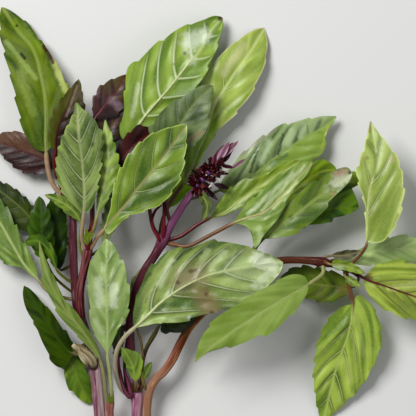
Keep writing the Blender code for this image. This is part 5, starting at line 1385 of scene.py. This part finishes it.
# The low leaves in the middle, on stalks from the joints near the stems' feet. Large pale ones
# lie over the stems with their undersides up, and dark ones lie in the shade below them.
grow(Leaf(
    "leaf_centre_large", "leaf_pale", stalk=6, lift=(1, 0.9), stalk_half=1.1,
    rib=[(67, 9, 4), (61.5, 12, 8), (58.7, 18, 12), (57.6, 25.5, 17), (58.6, 33, 22),
         (62.3, 39.5, 25), (67.5, 44.5, 26.5), (74, 50.5, 27.4), (80, 56.5, 27.8),
         (87.5, 62, 27.8), (95, 66.5, 27.4), (103.5, 70.2, 27), (113, 72.7, 26.4),
         (124, 74.8, 25.6), (134, 76.6, 24.2), (141.5, 77, 22.8)],
    left=[(66.8, 50), (67.6, 56), (69.8, 64), (75, 74), (82, 81.2), (88, 83.4), (98, 85.2),
          (107.5, 87.8), (115, 86.8), (125, 84.2), (131.5, 81.8), (137, 79.4)],
    right=[(72.8, 45.4), (78, 46.8), (85, 46.8), (92.5, 48), (102.5, 51.3), (114, 53.6), (125, 59),
           (134, 65.2), (140, 72.2)],
), Look(
    light=(164, 186, 98), dark=(62, 88, 20), vein=(212, 224, 172), rib=(196, 208, 144),
    stalk=(176, 166, 136), veins=6, vein_width=0.75, vein_strength=0.6, rib_half=0.7, slant=1.1,
    curve=0.9, quilt=-1.4, furrow_shade=0.55, roughness=0.38, shine=0.5, teeth=13,
    # The pale green-white spots are painted highlights on the ridges and the tip; the grey-brown
    # patches and dark brown dots are real marks.
    spots_and_painted_light=[(118, 74, 12, (190, 208, 150), 0.45, 134, 74),
           (128, 79, 5, (214, 224, 192), 0.75, 136, 75),
           (128, 66, 3.4, (206, 218, 180), 0.55, 136, 72),
           (86, 78, 2.4, (206, 220, 170), 0.6, 80, 66),
           (112, 82, 2.2, (208, 222, 170), 0.5, 105, 74),
           (104, 83, 2.2, (196, 212, 150), 0.5, 98, 74), (98, 61, 4, (84, 116, 34), 0.4, 90, 58),
           (91.5, 68, 9, (140, 134, 94), 1, 98.5, 70),
           (101.5, 60, 7.5, (126, 116, 78), 1, 105.5, 53), (89, 67, 1.6, (62, 50, 28), 0.75),
           (95, 72.5, 1.3, (74, 60, 34), 0.7, 98, 73), (103, 61, 1.4, (70, 52, 30), 0.7),
           (106, 52, 1.4, (64, 46, 26), 0.8), (75, 71, 1.4, (72, 74, 40), 0.6, 70, 66),
           (76, 62, 1.2, (96, 104, 60), 0.5, 73, 57)],
))
grow(Leaf(
    "leaf_centre_silver", "leaf_pale", stalk=3, lift=(0.9, 0.9), stalk_half=0.9,
    rib=[(55.2, 8, 11), (55.8, 12, 15.2), (54.8, 23, 17.8), (53.8, 31, 19.2), (54, 43, 20.6),
         (53.6, 53, 21.6), (53.4, 63, 22), (53, 71, 22), (53.8, 81, 21), (53, 89, 19.5)],
    left=[(50, 37), (47.5, 41), (45.5, 46), (45.2, 53), (44.6, 60.5), (44, 68), (46, 78),
          (49, 83.3), (51.5, 86.8)],
    right=[(56.5, 37.5), (59, 43), (62.3, 47.6), (64.2, 52.5), (65, 57), (64.3, 67), (62, 76),
           (57.5, 84.8)],
), Look(
    light=(168, 190, 122), dark=(100, 128, 50), vein=(196, 210, 158), rib=(174, 192, 124),
    stalk=(160, 166, 110), vein_strength=0.4, rib_half=0.5, slant=1.1, curve=0.8, quilt=-1,
    roughness=0.36, shine=0.5, teeth=12,
    # The first three pale streaks are painted silvery highlights.
    spots_and_painted_light=[(49.5, 68, 3.2, (206, 218, 182), 0.6, 50, 56),
           (57, 65, 3.2, (212, 222, 190), 0.6, 57, 56), (48, 48, 2, (190, 206, 156), 0.5, 51, 42),
           (52, 80, 3.4, (104, 134, 44), 0.5), (62, 50, 1.6, (92, 122, 40), 0.5, 64, 60)],
))
grow(Leaf(
    "leaf_left_diagonal", "leaf_fresh", stalk=3, lift=(-2.4, 1.2), wave=0.15, tooth=0.4,
    stalk_half=0.9,
    rib=[(54.9, 4.5, 10), (53.2, 9.5, 13.6), (52.2, 18.5, 16.8), (50.2, 28, 18.6),
         (46.3, 35.5, 20), (40, 44.5, 21.2), (33, 53, 21.8), (27.2, 63, 22), (23.2, 73, 21.6),
         (19.6, 87.5, 20)],
    left=[(47, 31.5), (42.3, 36.5), (35, 44), (28.7, 52.3), (23.7, 62.5), (21, 70.5), (20, 79)],
    right=[(49.3, 33.5), (45.2, 42), (39.2, 51), (32.6, 58.5), (26.6, 70.5), (22.2, 80.5)],
), Look(
    light=(140, 162, 80), dark=(80, 100, 32), vein=(158, 176, 104), rib=(140, 152, 84),
    stalk=(140, 140, 92), veins=6, vein_width=0.4, vein_strength=0.4, rib_half=0.4, slant=2.8,
    curve=0.5, quilt=0.7, teeth=18,
))
grow(Leaf(
    "leaf_low_left_dark", "leaf_dark", stalk=2, lift=(0.5, 0.8), stalk_half=1.3,
    rib=[(41, 31, 11), (39, 31, 9.4), (36.6, 31.2, 8.6), (34, 32, 8.6), (29.6, 37, 9.4),
         (25, 44, 9.6), (20, 52, 8.8), (15, 60, 7.2), (11.5, 65, 6)],
    left=[(33, 25), (29.8, 24), (26.5, 26.5), (24, 30.5), (21.3, 36), (18.5, 43.5), (15, 48.5),
          (12.3, 54.5), (11.2, 60.5)],
    right=[(38.6, 33.5), (36, 36.8), (31.5, 43.7), (26.5, 50.2), (21, 56.7), (15, 63)],
), Look(
    light=(80, 104, 0), dark=(30, 50, 0), vein=(66, 92, 14), rib=(62, 84, 14),
    stalk=(120, 108, 80), vein_strength=0.25, rib_half=0.4, slant=1.6, quilt=0.5, furrow_shade=0.08,
    mottle=0.4, roughness=0.55, shine=0.05, teeth=18,
    spots_and_painted_light=[(33, 44, 4, (34, 62, 2), 0.6, 40, 34), (33, 52, 2.4, (112, 136, 24), 0.4, 42, 36)],
))
grow(Leaf(
    "leaf_low_left_under", "leaf_fresh", stalk=2, lift=(-0.3, 0.5),
    rib=[(44.4, 36.5, 9.8), (41, 35, 6.4), (37.2, 32, 5.2), (36.8, 25.5, 4.6), (39, 17, 3.6),
         (45.2, 5.4, 1.2)],
    left=[(41, 26.5), (44.4, 19), (46.6, 11)],
    right=[(32, 27.5), (30.9, 22), (32.6, 17), (35, 12.4), (38.5, 8.6), (42.5, 6)],
), Look(
    light=(142, 172, 56), dark=(68, 96, 12), vein=(132, 158, 60), rib=(112, 136, 48),
    stalk=(90, 92, 44), left=(78, 106, 22), vein_strength=0.25, rib_half=0.4, furrow_shade=0.1,
    shine=0.3, teeth=14,
))
grow(Leaf(
    "young_leaf_low_upper", "leaf_fresh", stalk=2, lift=(0.3, 0.3), wave=0.2, tooth=0.3,
    rib=[(68.5, 10, 5), (68.2, 13.5, 10), (67.5, 17, 12.6), (66.5, 24, 13.6), (63.8, 30, 13.8),
         (60.5, 34.5, 13.4)],
    left=[(65.2, 20), (62.8, 25.5), (60.8, 30.5)],
    right=[(70.2, 20), (71.3, 28), (68.8, 31.8), (64, 33.4)],
), Look(
    light=(146, 176, 64), dark=(70, 98, 14), vein=(156, 180, 78), rib=(150, 170, 76),
    stalk=(120, 84, 60), veins=4, vein_strength=0.3, rib_half=0.4, quilt=0.5, teeth=5,
))
grow(Leaf(
    "young_leaf_low_lower", "leaf_fresh", stalk=2, wave=0.1, tooth=0.2, stalk_half=0.7,
    rib=[(69, 10.5, 5), (71, 14, 9.6), (71.8, 17.5, 12), (73.6, 22, 12.8), (76, 27, 13)],
    left=[(71.2, 21), (73, 25.5)],
    right=[(74, 19.5), (75.8, 23.5)],
), Look(
    light=(106, 128, 48), dark=(54, 74, 16), vein=(124, 144, 68), rib=(124, 140, 68),
    stalk=(110, 76, 56), veins=4, quilt=0.3,
))
grow(Leaf(
    "leaf_centre_shadow", "leaf_dark", stalk=4, wave=0.2,
    rib=[(67, 9, 4.4), (63, 15, 3), (62, 25, 3), (63, 36, 3.2), (65.6, 48, 3.4), (68, 58, 3.6),
         (71.5, 74, 3.6)],
    left=[(63.2, 54), (64.4, 64), (67.5, 71)],
    right=[(70.5, 54), (73.4, 64), (73.4, 70)],
), Look(
    light=(190, 200, 140), dark=(96, 108, 50), vein=(120, 130, 76), rib=(110, 118, 66),
    stalk=(80, 74, 36), veins=6,
))
grow(Leaf(
    "leaf_low_centre_dark", "leaf_dark", stalk=3, lift=(0.1, 0.1), wave=0.1,
    rib=[(67, 9.2, 4.6), (62, 14, 4.8), (60, 21, 6), (58.8, 27, 7.6), (59.2, 37, 8.4),
         (61, 48.5, 8.6)],
    left=[(56.4, 31.5), (56.2, 40.5), (58.6, 46.5)],
    right=[(60.9, 31.5), (61.4, 40)],
), Look(
    light=(72, 84, 32), dark=(34, 42, 12), vein=(90, 104, 50), rib=(96, 106, 56),
    stalk=(84, 80, 40), quilt=0.3,
))
grow(Leaf(
    "leaf_under_large", "leaf_dark", stalk=6,
    rib=[(69.5, 11, 6), (70.6, 19, 8), (71, 25, 9), (72, 31, 10), (74.2, 36.5, 11.5),
         (77.5, 42, 13), (81, 46.5, 14), (89, 46.8, 14.6), (99, 50, 14.4)],
    left=[(84, 51), (93, 53)],
    right=[(80.5, 42.2), (87, 41.4), (94, 43.6)],
), Look(
    light=(78, 94, 30), dark=(34, 48, 10), vein=(96, 112, 52), rib=(100, 112, 58),
    stalk=(88, 88, 44), veins=6,
))

# The small leaves at the left edge, on short stalks from the left stem. They fill the side of
# the bunch, some dull and shaded, some fresh, and one curls over its neighbour.
grow(Leaf(
    "leaf_edge_left_dark", "leaf_dark", stalk=4, stalk_half=0.7,
    rib=[(36.5, 84, 13), (35.9, 84.3, 8.6), (33, 86.5, 5.6), (26, 90.5, 4.8), (18, 95, 4.6),
         (10, 104, 4.2), (0, 112, 3.6), (-10, 118, 2.6)],
    left=[(14, 91.8), (7, 95), (0, 101), (-6, 109)],
    right=[(18.4, 101.5), (12.5, 109), (5, 115), (-3, 118.4)],
), Look(
    light=(82, 98, 38), dark=(38, 52, 12), vein=(100, 116, 60), rib=(104, 116, 62),
    stalk=(86, 86, 44), roughness=0.5, shine=0.2,
))
grow(Leaf(
    "leaf_edge_left_light", "leaf_fresh", stalk=3, lift=(0.8, 0.8), stalk_half=0.9,
    rib=[(38, 58, 12.8), (30, 59.5, 12), (23, 63, 11.2), (19, 68, 10.6), (15, 72, 10.2),
         (11, 77, 9.8), (7.5, 83, 9.4), (4, 89, 9), (0, 96, 8.6), (-8, 106, 7.6), (-15, 113, 6.4)],
    left=[(16, 69.5), (12, 73.4), (7.5, 74.8), (2, 76.5), (-4, 82), (-9.5, 91), (-13.5, 102)],
    right=[(18.4, 73), (16, 79), (13.5, 83.5), (10, 89.5), (7, 97), (3.5, 103.5), (-1, 109.5),
           (-8, 113)],
), Look(
    light=(140, 166, 78), dark=(66, 92, 24), vein=(176, 194, 122), rib=(178, 192, 124),
    stalk=(140, 136, 84), veins=6, vein_width=0.45, rib_half=0.6, slant=1.9, curve=0.6, quilt=1,
    teeth=10,
))
grow(Leaf(
    "leaf_left_small_serrated", "leaf_dark", stalk=3, lift=(0.3, 0.3), stalk_half=0.7,
    rib=[(38.2, 60.5, 13.4), (32, 65, 13.8), (26.5, 70.5, 14.4), (23, 78, 14.8), (21, 90, 15),
         (20.5, 100, 14.8), (19.5, 110, 14)],
    left=[(17.5, 81), (14.3, 90), (14.8, 99), (17.3, 106.5)],
    right=[(27, 82), (27, 90.5), (25.2, 100.5), (22, 107.5)],
), Look(
    light=(74, 104, 6), dark=(28, 50, 0), vein=(70, 98, 20), rib=(66, 88, 20), stalk=(84, 84, 36),
    vein_strength=0.3, rib_half=0.5, quilt=0.7, shine=0.12, teeth=6,
))
grow(Leaf(
    "leaf_left_curled", "leaf_fresh", stalk=2, lift=(-0.8, 0.4), wave=0.3, tooth=0.4,
    stalk_half=0.7,
    rib=[(37.2, 66, 13.4), (32.5, 69, 15.6), (28.2, 73.5, 16.8), (25.3, 81.5, 17.8),
         (19.5, 87.5, 18), (12.5, 87, 17.4)],
    left=[(26, 76), (22.4, 81.8), (17, 84.5), (14, 85.3)],
    right=[(28.6, 78), (27, 83.5), (22, 90), (16, 90.6)],
), Look(
    light=(100, 132, 24), dark=(42, 68, 2), vein=(112, 142, 44), rib=(108, 134, 44),
    stalk=(100, 104, 46), veins=4, quilt=0.4, shine=0.3,
))
grow(Leaf(
    "leaf_left_behind", "leaf_dark", stalk=2, stalk_half=0.7,
    rib=[(36.6, 76, 13), (33, 74, 10.6), (29.6, 73, 9.4), (28.5, 80, 9), (28.2, 90, 9),
         (27.8, 100, 8.8), (27.2, 112, 8.2)],
    left=[(23.5, 80), (22, 92), (23, 104)],
    right=[(32.5, 79), (33.7, 92), (31.5, 106)],
), Look(
    light=(66, 94, 6), dark=(24, 44, 0), vein=(52, 72, 14), rib=(54, 70, 18), stalk=(70, 68, 30),
    veins=6, shine=0.1,
))
